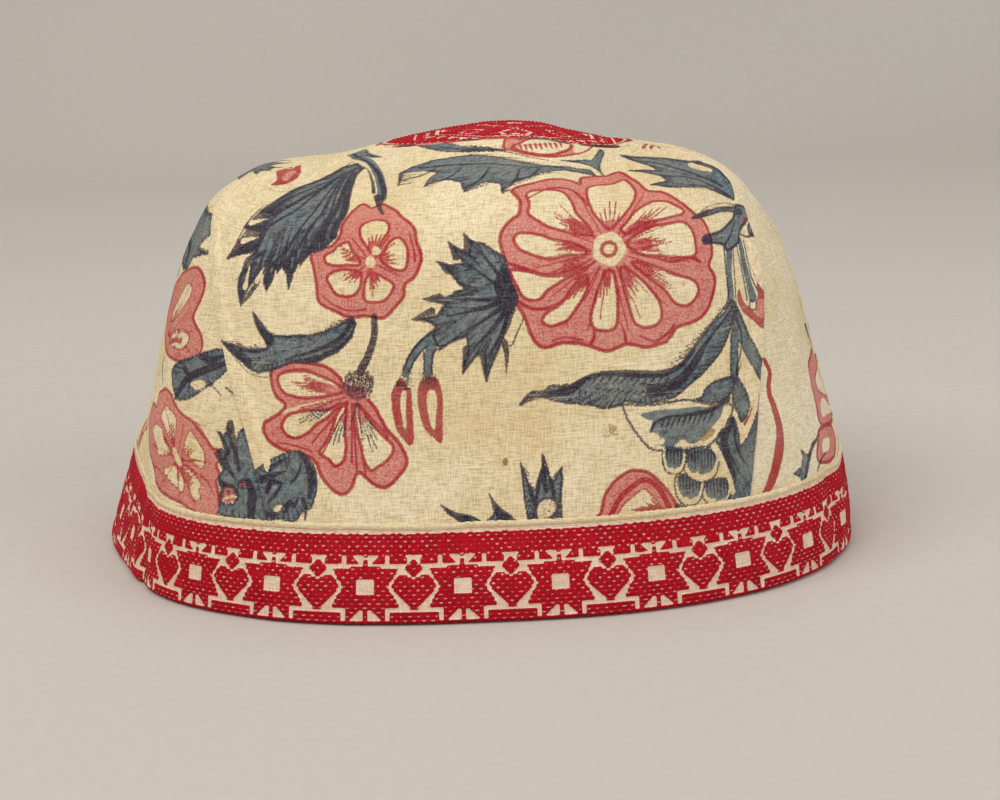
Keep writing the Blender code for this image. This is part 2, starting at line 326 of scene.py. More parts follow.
def place(base, tip, along_by, across, bend=0.0):
    """Points given along and across the line from base to tip, in board units."""
    base, tip = np.asarray(base, float), np.asarray(tip, float)
    d = tip - base
    size = np.hypot(*d)
    d = d / size
    n = np.array((-d[1], d[0]))
    t = np.asarray(along_by, float)
    w = np.asarray(across, float) + bend * np.sin(np.pi * np.clip(t, 0, 1))
    return base + t[:, None] * size * d + w[:, None] * n


def petal(P, base, tip, w, bend=0.0, fingers=4, reach=0.66, board=True, line=0.95, unit=1.0, wedge=0.62, tone="red", square=0.0):
    """A cream petal let into a pink flower: red edge, and a shaded wedge that ends in fingers."""
    t = np.array((0.0, 0.18, 0.40, 0.62, 0.82, 0.94, 1.0, 0.94, 0.82, 0.62, 0.40, 0.18))
    s = square
    h = np.array((0.07, 0.28, 0.60, 0.88, 1.0, 0.80 + 0.2 * s, 0.0, -0.80 - 0.2 * s, -1.0, -0.88, -0.60, -0.28)) * w
    P.shape(place(base, tip, t, h, bend), line="red", width=line, cut=("pink", "red"), board=board)
    if fingers:
        t = np.array((0.02, 0.2, 0.42, 0.52, 0.42, 0.2))
        h = np.array((0.0, 0.22, 0.42, 0.0, -0.42, -0.22)) * w * wedge * 1.3
        P.shape(place(base, tip, t, h, bend), fill="pink", board=board)
        for i in range(fingers):
            o = (i / (fingers - 1) - 0.5) * 2 if fingers > 1 else 0
            far = reach * (1 - 0.10 * abs(o)) + 0.05 * ((i * 7) % 3 - 1)
            a = place(base, tip, (0.12, 0.35, far), (o * w * 0.10, o * w * wedge * 0.42, o * w * wedge * 0.80), bend)
            P.stroke(a, tone, 0.5 * unit, 0.3 * unit, 0.62 * unit, board=board)


def lobe(P, outline, root, fingers=5, reach=0.62, wedge=0.50, line=0.8, board=True, tone="red"):
    """A cream petal given by its outline: red edge, a pink wedge at its root, and fine red fingers beyond it."""
    q, root = np.asarray(outline, float), np.asarray(root, float)
    P.shape(q, line="red", width=line, cut=("pink", "red"), board=board)
    way = q.mean(0) - root
    way = way / np.hypot(*way)
    side = np.array((-way[1], way[0]))
    far = (q - root) @ way
    middle = ((q - root) @ side).mean() / far.mean()
    sideways = (q - root) @ side - middle * far
    P.shape(root + wedge * (np.outer(far, way) + np.outer(middle * far + 0.74 * sideways, side)), fill="pink", board=board)
    out = q[far > 0.72 * far.max()]
    across = (out - root) @ side / ((out - root) @ way)
    low, high = across.min(), across.max()
    for i in range(fingers):
        f = (i + 0.5) / fingers
        slope = low + (high - low) * (0.10 + 0.80 * f)
        length = far.max() * reach * (1 + 0.16 * (((i * 5) % 4) / 1.5 - 1) * 0.7) * (1 - 0.14 * abs(2 * f - 1))
        tip = root + length * (way + side * slope)
        start = root + length * 0.48 * (way + side * slope * 0.80)
        P.stroke([start, (start + tip) / 2 + side * 0.4, tip], tone, 0.12, 0.40, 0.50, board=board)


def feather(P, outline, root, board=True, every=1.5, depth=0.42, w=0.5, most=5.5, seed=0):
    """Fine dark strokes that run in from a leaf's edge towards its root."""
    q = P.cloth.from_board(outline) if board else np.asarray(outline, float)
    root = P.cloth.from_board([root])[0] if board else np.asarray(root, float)
    q = np.concatenate([q, q[:1]])
    run = np.concatenate([[0], np.cumsum(np.linalg.norm(np.diff(q, axis=0), axis=1))])
    n = int(run[-1] / every)
    for i in range(n):
        at = (i + 0.5) * run[-1] / n
        a = np.array((np.interp(at, run, q[:, 0]), np.interp(at, run, q[:, 1])))
        d = root - a
        size = np.hypot(*d)
        if size < 2.0:
            continue
        r = ((i * 37 + seed * 11) % 17) / 16
        reach = min(size * depth, most) * (0.45 + 0.75 * r)
        turn = rot(d / size, (((i * 29) % 13) / 12 - 0.5) * 0.24)
        P.stroke([a, a + turn * reach * 0.5, a + turn * reach], "dark", w * (0.8 + 0.7 * r), 0.12, w * 0.75, board=False, soft=False)


def rays(P, centre, tips, ink="red", w0=0.5, w1=0.35, start=0.0, board=True):
    c, w0 = np.asarray(centre, float), w0 * 0.55
    for tip in tips:
        tip = np.asarray(tip, float)
        P.stroke([c + (tip - c) * start, c + (tip - c) * (start + 1) / 2, tip], ink, w0, w1, board=board)


def leaf(P, outline, width=0.9, veins=(), board=True, vein=0.7, soft=False, root=None, fine=0.5):
    """A blue leaf with a dark edge. A vein is a list of points from the base towards a tooth."""
    P.shape(outline, fill="blue", line="dark", width=width * 0.62, cut=("pink", "red"), soft=soft, board=board)
    if fine:
        feather(P, outline, np.mean(np.asarray(outline, float), 0) if root is None else root, board, w=fine, seed=len(outline))
    for v in veins:
        P.stroke(v, "dark", vein, vein * 0.35, vein * 0.8, board=board)


def hatch(P, rows, ink="dark", w=0.45, board=True):
    """Short dashes: each row is (start, end, count, dash vector)."""
    for start, end, count, dash in rows:
        for i in range(count):
            f = i / max(count - 1, 1)
            a = np.array(start, float) * (1 - f) + np.array(end, float) * f
            j = 0.8 + 0.35 * ((i * 37) % 5) / 4
            P.stroke([a, a + np.array(dash, float) * j], ink, w, w * 0.4, board=board)


# =========================================================================== front panel
def draw_front(P):
    # --- the large open flower
    P.shape([(512, 191), (520, 186), (538, 182), (560, 179), (573, 181), (580, 184), (581, 178), (596, 176), (606, 176),
             (618, 172), (629, 177), (639, 183), (648, 191), (662, 192), (679, 201), (694, 213), (704, 221), (710, 235),
             (712, 253), (709, 266), (715, 279), (711, 301), (702, 317), (684, 325), (676, 328), (667, 341), (646, 347),
             (626, 344), (609, 351), (596, 348), (580, 344), (563, 343), (545, 348), (535, 342), (528, 326), (523, 313),
             (512, 298), (508, 276), (505, 259), (500, 241), (502, 230), (513, 218), (519, 214), (520, 201)],
            fill="pink", line="red", width=0.9)
    C = (609, 249)
    for outline, fingers, reach, wedge in (
        ([(526, 195), (531, 191), (547, 190), (562, 192), (571, 201), (577, 213), (589, 228), (592, 235), (572, 233), (550, 227), (536, 220), (528, 213), (530, 204)], 6, 0.62, 0.52),
        ([(587, 196), (588, 188), (597, 185), (611, 184), (624, 180), (635, 191), (633, 202), (625, 213), (614, 226), (608, 229), (599, 220), (591, 208)], 5, 0.66, 0.44),
        ([(621, 229), (627, 222), (636, 211), (649, 203), (663, 201), (677, 206), (684, 212), (674, 216), (661, 219), (647, 222), (636, 229), (627, 234)], 6, 0.80, 0.60),
        ([(627, 243), (636, 235), (649, 228), (663, 224), (683, 222), (692, 230), (695, 243), (694, 256), (674, 257), (661, 256), (647, 255), (633, 250)], 7, 0.66, 0.50),
        ([(632, 262), (647, 264), (661, 269), (675, 275), (691, 279), (698, 288), (695, 299), (686, 306), (675, 303), (666, 291), (652, 280), (641, 271)], 5, 0.70, 0.52),
        ([(621, 267), (630, 271), (644, 282), (658, 299), (662, 315), (658, 324), (647, 327), (636, 324), (630, 310), (625, 291), (621, 277)], 4, 0.62, 0.50),
        ([(606, 271), (612, 271), (616, 285), (618, 304), (616, 327), (605, 331), (594, 328), (591, 316), (595, 299), (600, 285)], 4, 0.60, 0.46),
        ([(587, 275), (586, 291), (577, 307), (566, 321), (550, 326), (542, 321), (547, 313), (561, 304), (569, 293), (577, 282)], 4, 0.66, 0.50),
        ([(511, 270), (530, 272), (549, 275), (563, 273), (582, 268), (562, 281), (547, 291), (540, 299), (525, 298), (515, 283)], 6, 0.58, 0.46),
        ([(586, 249), (572, 243), (555, 240), (536, 234), (519, 233), (514, 239), (519, 249), (536, 256), (550, 259), (566, 256), (583, 255)], 4, 0.56, 0.50),
    ):
        lobe(P, outline, C, fingers, reach, wedge)
    # rays between the petals
    rays(P, C, [(560, 205), (580, 196), (643, 196), (668, 224), (690, 262), (684, 276), (668, 306), (641, 318), (628, 330),
                (588, 330), (571, 318), (553, 296), (536, 268), (540, 258), (565, 232), (650, 214)], w0=0.7, w1=0.35, start=0.25)
    rays(P, C, [(585, 300), (600, 320), (630, 300), (650, 296), (575, 280), (560, 276), (556, 250), (572, 222)], w0=0.7, w1=0.3, start=0.35)
    # second red line just inside the scalloped edge, in places
    P.stroke([(527, 199), (545, 190), (563, 188), (576, 193), (588, 205)], "red", 0.5, 0.9, 0.8)
    P.stroke([(700, 262), (690, 258), (672, 262), (655, 258), (636, 254)], "red", 0.9, 0.5, 0.7)
    P.stroke([(504, 262), (520, 267), (545, 275), (570, 274), (592, 264)], "red", 0.7, 0.6, 1.1)
    P.stroke([(516, 300), (535, 309), (560, 303), (586, 280)], "red", 0.8, 0.4, 0.9)
    P.stroke([(590, 345), (594, 336), (592, 318)], "red", 0.9, 0.3)
    P.stroke([(626, 344), (624, 332), (620, 322)], "red", 0.9, 0.3)
    P.stroke([(553, 341), (566, 337), (583, 340)], "red", 0.5, 0.5)
    P.stroke([(640, 336), (655, 341), (668, 333), (674, 325)], "red", 0.5, 0.8)
    # centre
    C = np.array(C, float)
    P.shape([C + 16.5 * np.array((np.cos(a), np.sin(a))) * (1 + 0.06 * np.cos(5 * a)) for a in np.linspace(0, 2 * np.pi, 15)[:-1]],
            cut=("pink", "red"))
    P.shape([C + 7.3 * np.array((np.cos(a), np.sin(a))) for a in np.linspace(0, 2 * np.pi, 11)[:-1]], line="red", width=0.95)

    # --- the smaller flower
    P.shape([(343, 224), (350, 214), (362, 204), (372, 208), (382, 204), (396, 211), (401, 216), (413, 226), (417, 241),
             (421, 260), (415, 276), (405, 284), (404, 296), (395, 307), (384, 318), (369, 316), (349, 317), (336, 312),
             (320, 303), (317, 289), (314, 268), (311, 258), (317, 244), (329, 247), (336, 241), (341, 233)],
            fill="pink", line="red", width=0.85)
    D = (370.5, 262)
    for outline in (
        [(360, 232), (362, 225), (375, 220), (387, 222), (389, 230), (384, 238), (378, 247), (372, 253), (367, 247), (362, 240)],
        [(380, 258), (385, 250), (392, 240), (400, 238), (407, 247), (408, 260), (404, 270), (395, 270), (386, 265)],
        [(375, 273), (385, 278), (394, 285), (391, 293), (385, 300), (375, 302), (365, 300), (364, 290), (366, 280), (370, 274)],
        [(360, 272), (350, 270), (337, 271), (327, 277), (330, 285), (336, 294), (350, 296), (357, 292), (361, 283)],
        [(360, 264), (350, 265), (337, 266), (326, 263), (325, 256), (332, 252), (340, 245), (348, 242), (352, 250), (358, 257)],
    ):
        lobe(P, outline, D, 4, 0.68, 0.52, 0.75)
    rays(P, D, [(352, 238), (390, 235), (399, 276), (362, 296), (345, 280), (341, 247), (395, 243), (373, 296)], w0=0.8, w1=0.4, start=0.2)
    P.shape([D + 5.6 * np.array((np.cos(a) * 0.9, np.sin(a) * 1.1)) for a in np.linspace(0, 2 * np.pi, 11)[:-1]], cut=("pink", "red"))
    P.shape([(374, 246), (381, 249), (378, 255), (372, 253)], cut=("pink", "red"))
    P.stroke([(322, 296), (335, 306), (352, 311), (366, 309)], "red", 0.4, 0.6)
    P.stroke([(409, 232), (413, 246), (415, 262)], "red", 0.4, 0.5)

    # --- the large toothed leaf and its stem
    big = [(358, 163), (343, 167), (319, 180), (296, 189), (284, 196), (259, 213), (272, 214), (258, 221), (244, 227), (262, 233),
           (246, 243), (227, 258), (258, 250), (248, 261), (240, 276), (238, 288), (241, 306), (246, 288), (268, 268),
           (264, 280), (266, 291), (282, 265), (287, 274), (289, 288), (293, 274), (309, 255), (324, 249), (336, 236), (345, 215),
           (350, 198), (357, 175), (364, 168)]
    leaf(P, big, 1.0, root=(352, 170), fine=0.6)
    feather(P, big, (352, 170), every=1.1, depth=0.7, w=0.7, most=12, seed=5)
    for tip in [(262, 213), (250, 229), (236, 252), (242, 292), (267, 282), (289, 278)]:
        tip = np.array(tip, float)
        base = np.array((352, 170.0))
        mid = base * 0.45 + tip * 0.55 + np.array((6, -4))
        P.stroke([base, mid, tip], "dark", 0.8, 1.8, 0.8)
    P.stroke([(356, 168), (340, 200), (322, 240)], "dark", 1.0, 2.4, 1.4)
    P.stroke([(350, 176), (346, 205), (333, 236)], "dark", 1.4, 2.6, 2.8)
    P.stroke([(345, 172), (320, 190), (292, 205), (274, 214)], "dark", 0.7, 1.6, 1.0)
    hatch(P, [((334, 184), (286, 216), 8, (-8, 2)), ((334, 194), (280, 234), 10, (-8, 3)), ((334, 206), (280, 252), 10, (-8, 5)),
              ((330, 222), (302, 246), 6, (-6, 7)), ((318, 188), (284, 204), 5, (-7, 2)), ((340, 184), (324, 214), 5, (-5, 8))], w=0.5)
    for tip, w in (((226, 259), 1.6), ((240, 307), 2.0), ((266, 291), 1.4), ((288, 289), 1.4), ((243, 228), 1.5), ((257, 213), 1.2), ((250, 262), 1.2), ((236, 280), 1.6)):
        tip = np.array(tip, float)
        inner = tip + (np.array((300, 225.0)) - tip) * 0.30
        P.stroke([inner, (inner + tip) / 2, tip], "dark", w * 0.9, 0.2, w * 0.8)
    for notch, out in (((268, 219), (251, 223)), ((258, 237), (243, 241)), ((252, 254), (237, 259)), ((250, 266), (245, 287)), ((264, 268), (257, 281)), ((276, 270), (275, 284)),
                       ((299, 264), (296, 276)), ((313, 253), (308, 264))):
        P.stroke([out, ((notch[0] + out[0]) / 2, (notch[1] + out[1]) / 2), notch], None, 1.5, 0.3, 0.9, cut=("blue", "dark"))
    P.stroke([(331, 156), (345, 155), (360, 158), (371, 163), (378, 174), (382, 190), (379, 200)], "blue", 1.0, 2.4, 2.6, cut=("pink",))
    P.stroke([(333, 155), (350, 156), (365, 160), (376, 170), (382, 183), (384, 196), (380, 203)], "dark", 0.5, 2.0, 1.1)
    P.stroke([(352, 162), (366, 168), (372, 180), (374, 193)], "dark", 0.4, 1.3, 0.9)
    P.stroke([(377, 196), (379, 206), (383, 214)], "dark", 2.2, 1.0)
    leaf(P, [(334, 155), (350, 152), (366, 152), (383, 157), (366, 156), (350, 157)], 0.5, soft=True)
    P.stroke([(268, 188), (278, 192), (292, 191)], "dark", 0.2, 0.5)

    # --- stem and hanging flower
    P.stroke([(374, 316), (374, 336), (368, 356), (360, 372)], "dark", 1.9, 2.5, 2.2)
    P.shape([(300, 362), (281, 363), (271, 371), (272, 385), (276, 396), (285, 404), (280, 413), (264, 424), (267, 438),
             (281, 449), (298, 453), (315, 461), (322, 477), (332, 489), (342, 495), (351, 489), (357, 473), (363, 475),
             (374, 484), (386, 487), (398, 477), (407, 462), (399, 443), (386, 428), (377, 412), (367, 397), (364, 388),
             (346, 384), (337, 374), (323, 366)], fill="pink", line="red", width=0.9)
    H = (352, 393)
    lobe(P, [(278, 377), (285, 372), (300, 371), (318, 375), (337, 384), (344, 391), (328, 396), (305, 398), (289, 395), (280, 388)], H, 7, 0.74, 0.58)
    for outline, fingers in (
        ([(282, 427), (289, 415), (305, 411), (327, 410), (340, 403), (330, 415), (316, 425), (305, 435), (292, 438)], 5),
        ([(319, 452), (326, 443), (332, 430), (338, 412), (345, 404), (346, 420), (345, 433), (346, 448), (343, 461), (335, 466), (329, 459), (322, 456)], 4),
        ([(354, 404), (363, 410), (371, 422), (382, 435), (393, 446), (390, 457), (382, 464), (371, 471), (364, 459), (361, 446), (357, 432), (354, 418)], 5),
    ):
        lobe(P, outline, H, fingers, 0.74, 0.42, tone="dark")
    P.stroke([(284, 371), (304, 370), (322, 377), (338, 384)], "red", 0.7, 0.4, 0.9)
    P.stroke([(282, 375), (302, 373), (318, 380)], None, 0.7, 0.4, 0.8, cut=("pink",))
    P.stroke([(283, 412), (305, 406), (330, 400)], None, 0.8, 0.3, 0.8, cut=("pink",))
    rays(P, (352, 396), [(300, 408), (312, 443), (322, 455), (352, 462), (357, 470), (366, 476), (388, 436)], w0=0.9, w1=0.5, start=0.12)
    rays(P, (358, 398), [(362, 440), (350, 430)], "dark", w0=0.8, w1=0.4, start=0.1)
    P.stroke([(276, 442), (296, 446), (312, 452)], "red", 0.4, 0.5)
    P.grain([(344, 380), (349, 372), (358, 370), (368, 371), (374, 378), (373, 390), (369, 398), (362, 402), (353, 402), (347, 397), (343, 389)], "pink", 0.02)
    P.grain([(344, 380), (349, 372), (358, 370), (368, 371), (374, 378), (373, 390), (369, 398), (362, 402), (353, 402), (347, 397), (343, 389)], "red", 0.12, over=True)
    P.grain([(344, 380), (349, 372), (358, 370), (368, 371), (374, 378), (373, 390), (368, 397), (360, 400), (352, 399), (346, 395), (343, 389)], "dark", -0.05)
    hatch(P, [((346, 378), (370, 378), 7, (-1, 9)), ((350, 373), (367, 374), 5, (1, 8)), ((349, 388), (367, 388), 6, (-1, 9))], w=0.7)
    P.grain([(290, 424), (305, 416), (326, 414), (318, 424), (304, 432), (292, 434)], "dark", 0.22)
    P.grain([(358, 420), (366, 426), (380, 446), (378, 458), (370, 462), (364, 448)], "dark", 0.20)

    # --- curved two-tipped leaf
    leaf(P, [(352, 317), (337, 327), (309, 336), (276, 336), (266, 331), (261, 323), (253, 313), (258, 329), (266, 342), (268, 348),
             (258, 349), (246, 349), (236, 346), (223, 341), (231, 351), (240, 360), (249, 368), (258, 372), (271, 370),
             (292, 362), (316, 362), (337, 352), (351, 337), (356, 324)], 1.1)
    P.stroke([(352, 322), (340, 338), (318, 350), (292, 357)], "dark", 1.5, 0.6, 1.2)
    P.stroke([(354, 330), (342, 346), (322, 357), (300, 361)], "dark", 0.6, 1.0, 1.8)
    P.stroke([(226, 343), (236, 353), (248, 362)], "dark", 0.5, 3.2, 2.4)
    P.stroke([(254, 316), (261, 330), (270, 340)], "dark", 0.4, 3.0, 1.6)
    P.stroke([(240, 349), (256, 352), (268, 349)], "dark", 1.2, 0.5)
    P.stroke([(236, 359), (248, 372), (262, 377), (272, 376)], "dark", 0.3, 0.4)
    hatch(P, [((258, 358), (300, 346), 6, (8, -1)), ((262, 366), (284, 360), 4, (9, -2)), ((300, 342), (334, 332), 5, (6, -2))], w=0.5)

    # --- two long buds on stems from the fan leaf
    P.stroke([(446, 331), (434, 336), (420, 347), (411, 360), (406, 374)], "blue", 3.4, 1.8, 2.4)
    P.stroke([(440, 329), (424, 338), (412, 352), (403, 370)], "dark", 0.7, 0.7, 0.7)
    P.stroke([(428, 345), (416, 358), (409, 372)], "dark", 0.5, 0.6)
    P.stroke([(448, 334), (436, 341), (429, 354), (428, 374)], "blue", 3.0, 2.0, 2.2)
    P.stroke([(424, 349), (424, 360), (424, 373)], "dark", 0.5, 0.6)
    P.stroke([(443, 346), (434, 352), (432, 364), (432, 374)], "dark", 0.8, 0.6, 0.6)
    P.shape([(398, 380), (392, 391), (391.5, 402), (393, 414), (396.5, 428), (403, 438), (410.5, 446.5), (413.2, 443), (413.4, 425), (412, 405), (411, 392),
             (407, 386), (402, 378)], fill="red", line="red", width=0.2)
    P.shape([(402.5, 391), (405.6, 391), (405.8, 410), (406.8, 424), (405.4, 431), (402.5, 420), (400.6, 406), (400.6, 395)], cut=("red",))
    P.shape([(420, 382), (418, 392), (418, 402), (420.5, 416), (425.5, 430), (434, 438), (440.5, 444), (442.2, 440), (442.4, 420), (442.7, 400), (440.5, 386),
             (435.5, 378), (428, 377)], fill="red", line="red", width=0.2)
    P.shape([(428.5, 391), (434.5, 390), (436.8, 400), (436.2, 416), (434.2, 430), (430.5, 423), (427.2, 410), (426.6, 398)], cut=("red",))
    P.grain([(396, 385), (401, 375), (404, 369), (411, 371), (412, 384), (414, 387), (406, 390), (398, 388)], "dark", 0.02)
    P.grain([(420, 381), (424, 372), (431, 372), (436, 376), (437, 386), (431, 391), (424, 388)], "dark", 0.03)
    hatch(P, [((397, 383), (409, 379), 6, (1, 7)), ((423, 377), (434, 377), 5, (0.6, 8))], w=0.6)
    P.stroke([(405, 388), (411, 388)], "dark", 0.9, 0.6)

    # --- fan-shaped toothed leaf
    fan = [(464, 234), (470, 240), (474, 242), (484, 243), (505, 258), (509, 275), (513, 286), (518, 297), (514, 308), (508, 320), (504, 336),
           (500, 346), (493, 360), (489, 372), (486, 381), (484, 366), (483, 352), (475, 357), (469, 364), (463, 373), (464, 360), (469, 348),
           (467, 336), (449, 343), (440, 350), (433, 335), (436, 326), (430, 322), (413, 319), (437, 316), (441, 310), (446, 304),
           (424, 299), (447, 297), (456, 292), (467, 289), (460, 284), (452, 275), (437, 262), (450, 265), (464, 263), (455, 253), (448, 242),
           (458, 249), (468, 253), (470, 245)]
    leaf(P, fan, 1.0, root=(515, 297), fine=0.55)
    base = np.array((515, 297.0))
    for tip, w in (((476, 246), 1.2), ((465, 262), 0.8), ((448, 299), 1.0), ((440, 318), 1.1), ((452, 338), 0.9), ((470, 352), 1.4),
                   ((486, 362), 1.3), ((499, 345), 1.2), ((488, 262), 1.0), ((506, 325), 1.2), ((462, 310), 0.8)):
        tip = np.array(tip, float)
        P.stroke([base + (tip - base) * 0.04, base * 0.5 + tip * 0.5 + np.array((2, 2)), base + (tip - base) * 0.95], "dark", 2.0, 0.35, w)
    P.shape([(503, 262), (509, 276), (517, 296), (511, 312), (500, 300), (494, 288), (498, 274)], fill="dark")
    hatch(P, [((500, 262), (470, 286), 7, (-9, 1)), ((496, 280), (466, 300), 6, (-9, 3)), ((500, 318), (488, 346), 5, (-6, 7)),
              ((480, 306), (450, 326), 6, (-8, 4)), ((480, 252), (468, 270), 4, (-7, 2))], w=0.5)
    for tip in ((464, 234), (448, 242), (437, 262), (424, 299), (413, 319), (463, 373), (486, 381)):
        tip = np.array(tip, float)
        inner = tip + (np.array((475, 292.0)) - tip) * 0.30
        P.stroke([inner, (inner + tip) / 2, tip], "dark", 2.2, 0.25, 1.3)
    P.stroke([(504, 342), (507, 356), (506, 375)], "dark", 2.2, 0.3, 1.2)
    P.stroke([(503, 341), (511, 346), (517, 334), (524, 318)], "dark", 0.6, 0.4)

    # --- across the top of the front: long toothed leaf, thin leaf, bud and stem knot
    top = [(596, 176), (578, 172), (560, 170), (540, 173), (527, 178), (505, 186), (503, 194), (500, 184), (483, 182), (464, 192), (461, 182), (448, 180),
           (434, 181), (424, 187), (430, 178), (438, 173), (425, 171), (404, 173), (398, 186), (400, 173), (412, 167), (430, 161), (448, 158),
           (470, 155), (495, 157), (520, 162), (545, 166), (570, 167), (590, 170)]
    leaf(P, top, 0.8, soft=False, root=(592, 172))
    P.stroke([(590, 173), (560, 168), (530, 167), (495, 164), (455, 165), (420, 168)], "dark", 0.5, 1.2, 0.7)
    for a, b in (((520, 168), (503, 190)), ((490, 167), (465, 188)), ((462, 168), (428, 184)), ((440, 165), (403, 180)), ((540, 168), (515, 180))):
        P.stroke([a, ((a[0] + b[0]) / 2 + 3, (a[1] + b[1]) / 2 + 2), b], "dark", 0.5, 1.4, 1.0)
    hatch(P, [((430, 164), (540, 168), 14, (-9, 3)), ((440, 170), (510, 172), 8, (-8, 4))], w=0.45)
    leaf(P, [(602, 173), (597, 170), (590, 166), (578, 163), (560, 160), (585, 160), (592, 160), (597, 153), (600, 149), (604, 153), (601, 160), (600, 167), (603, 176)], 0.6, soft=True)
    P.stroke([(412, 144), (440, 147), (475, 150), (505, 152), (535, 158), (560, 164)], "dark", 0.3, 0.4, 0.6)
    leaf(P, [(410, 145), (430, 144), (460, 146), (490, 148), (505, 151), (480, 152), (450, 152), (428, 149)], 0.45, soft=True)
    P.shape([(503, 147), (511, 140), (530, 136), (552, 135), (570, 136), (592, 143), (588, 150), (570, 155), (548, 157), (527, 154), (510, 150)],
            fill="pink", line="red", width=0.7)
    P.shape([(513, 147), (524, 141), (548, 139), (566, 142), (571, 147), (560, 153), (545, 155), (526, 152)], line="red", width=1.0, cut=("pink",))
    hatch(P, [((520, 145), (560, 143), 9, (2, 5))], "red", 0.9)
    P.shape([(578, 142), (590, 145), (586, 151), (576, 153), (574, 147)], cut=("pink",))
    P.stroke([(520, 139), (540, 138), (562, 137)], "blue", 1.4, 1.0, 1.8)

    # --- top right leaf, and red dashes on the crown beyond it
    right_top = [(734, 200), (719, 193), (697, 186), (680, 187), (668, 187), (651, 184), (668, 180), (658, 175), (642, 172), (629, 171), (645, 170), (658, 171),
                 (648, 165), (634, 161), (620, 155), (640, 157), (664, 158), (680, 160), (700, 163), (716, 169), (727, 178), (731, 188)]
    leaf(P, right_top, 0.9, root=(734, 196))
    P.shape([(688, 163), (700, 165), (712, 171), (700, 170), (690, 167)], cut=("blue", "dark"))
    P.stroke([(660, 176), (685, 177), (710, 185), (731, 197)], "dark", 0.5, 0.9, 0.6)
    P.stroke([(640, 161), (665, 165), (695, 174), (722, 186)], "dark", 0.6, 0.8, 0.9)
    hatch(P, [((650, 166), (712, 180), 9, (9, 2)), ((664, 182), (706, 186), 6, (9, 1))], w=0.5)
    P.stroke([(684, 152), (700, 159), (716, 170), (728, 182)], "dark", 0.4, 1.2, 0.8)
    P.stroke([(700, 158), (716, 166), (729, 180)], "blue", 0.8, 1.6, 1.6)
    hatch(P, [((642, 148), (690, 152), 7, (7, -4))], "red", 0.9)

    # --- stems at the right: knot, bulb, thin leaf, bud
    leaf(P, [(692, 218), (704, 212), (718, 208), (734, 207), (741, 214), (732, 211), (718, 212), (706, 216)], 0.9, soft=True)
    P.stroke([(696, 215), (710, 206), (727, 203), (740, 207), (748, 214)], "dark", 0.3, 0.5)
    P.shape([(736, 205), (749, 214), (745, 222), (739, 232), (738, 242), (728, 250), (722, 244), (712, 243), (704, 243), (703, 237),
             (712, 234), (722, 230), (731, 221), (735, 212)], fill="blue", line="dark", width=0.8)
    P.shape([(703, 236), (709, 233), (713, 238), (710, 244), (703, 244)], fill="dark")
    P.stroke([(734, 222), (730, 236), (724, 246)], "dark", 0.4, 0.9)
    P.stroke([(740, 234), (748, 237), (753, 230), (752, 222)], "dark", 0.9, 1.6, 0.9)
    P.shape([(747, 226), (752, 222), (757, 227), (755, 235), (749, 236)], fill="blue", line="dark", width=0.7)
    P.stroke([(745, 219), (741, 226)], "red", 0.9, 0.5)
    P.stroke([(729, 244), (729, 275), (732, 306)], "blue", 2.6, 2.4, 1.8)
    P.stroke([(724, 248), (726, 275), (728, 300), (716, 318), (704, 333), (690, 352)], "dark", 0.7, 0.9, 0.7)
    P.stroke([(733, 250), (734, 275), (736, 300), (738, 318)], "dark", 0.6, 0.5)
    P.stroke([(739, 240), (745, 268), (752, 297)], "blue", 2.0, 2.8, 2.2)
    P.stroke([(736, 244), (742, 272), (747, 300)], "dark", 0.6, 0.7)
    P.stroke([(743, 240), (749, 268), (756, 292)], "dark", 0.6, 0.7)
    hatch(P, [((744, 248), (757, 286), 12, (1.5, 2))], "dark", 0.35)
    hatch(P, [((757, 246), (764, 274), 6, (1, 3))], "dark", 0.4)
    P.shape([(739, 289), (737, 297), (741, 309), (751, 319), (763, 329), (765, 312), (765, 298), (759, 287), (755, 284), (756, 298), (749, 306), (743, 300)],
            fill="red", cut=("pink",))
    P.shape([(757, 300), (763, 302), (762, 318), (752, 310)], fill="pink", cut=("red",))
    P.shape([(750, 300), (755, 302), (755, 309), (750, 308)], line="dark", width=0.5, cut=("red", "pink"))
    # fork below: long leaf to the left and a strap leaf to the right
    sweep = [(731, 300), (724, 312), (712, 324), (700, 340), (692, 350), (681, 363), (672, 369), (662, 373), (640, 373), (618, 372), (598, 373),
             (581, 379), (568, 386), (550, 386), (542, 394), (533, 391), (520, 405), (535, 396), (550, 399), (568, 403), (592, 405),
             (604, 408), (624, 405), (645, 405), (657, 402), (674, 397), (688, 386), (706, 370), (719, 354), (727, 338), (733, 320), (737, 308)]
    leaf(P, sweep, 0.9, soft=True)
    P.stroke([(733, 306), (716, 330), (700, 350), (684, 372), (664, 384), (640, 384)], "dark", 0.7, 0.6, 0.9)
    P.stroke([(694, 350), (682, 364), (664, 373), (640, 374), (618, 373), (598, 375), (582, 380)], "dark", 1.2, 1.2, 2.4)
    P.stroke([(704, 352), (690, 372), (672, 388), (652, 392)], "dark", 0.6, 3.6, 2.2)
    P.stroke([(712, 336), (702, 352), (690, 368)], "dark", 0.5, 0.7)
    P.stroke([(582, 382), (566, 391), (548, 393)], "dark", 2.0, 1.0, 3.0)
    hatch(P, [((590, 377), (676, 378), 13, (-7, 8)), ((600, 388), (650, 392), 9, (-7, 4)), ((562, 388), (592, 392), 6, (-2, 8))], w=0.6)
    leaf(P, [(736, 306), (744, 322), (750, 336), (757, 352), (763, 366), (760, 380), (752, 366), (745, 352), (739, 340), (738, 358), (738, 377), (731, 377),
             (731, 350), (732, 325)], 0.8, soft=True)
    P.stroke([(737, 318), (742, 336), (741, 352), (737, 368), (737, 380)], "dark", 0.6, 0.8)
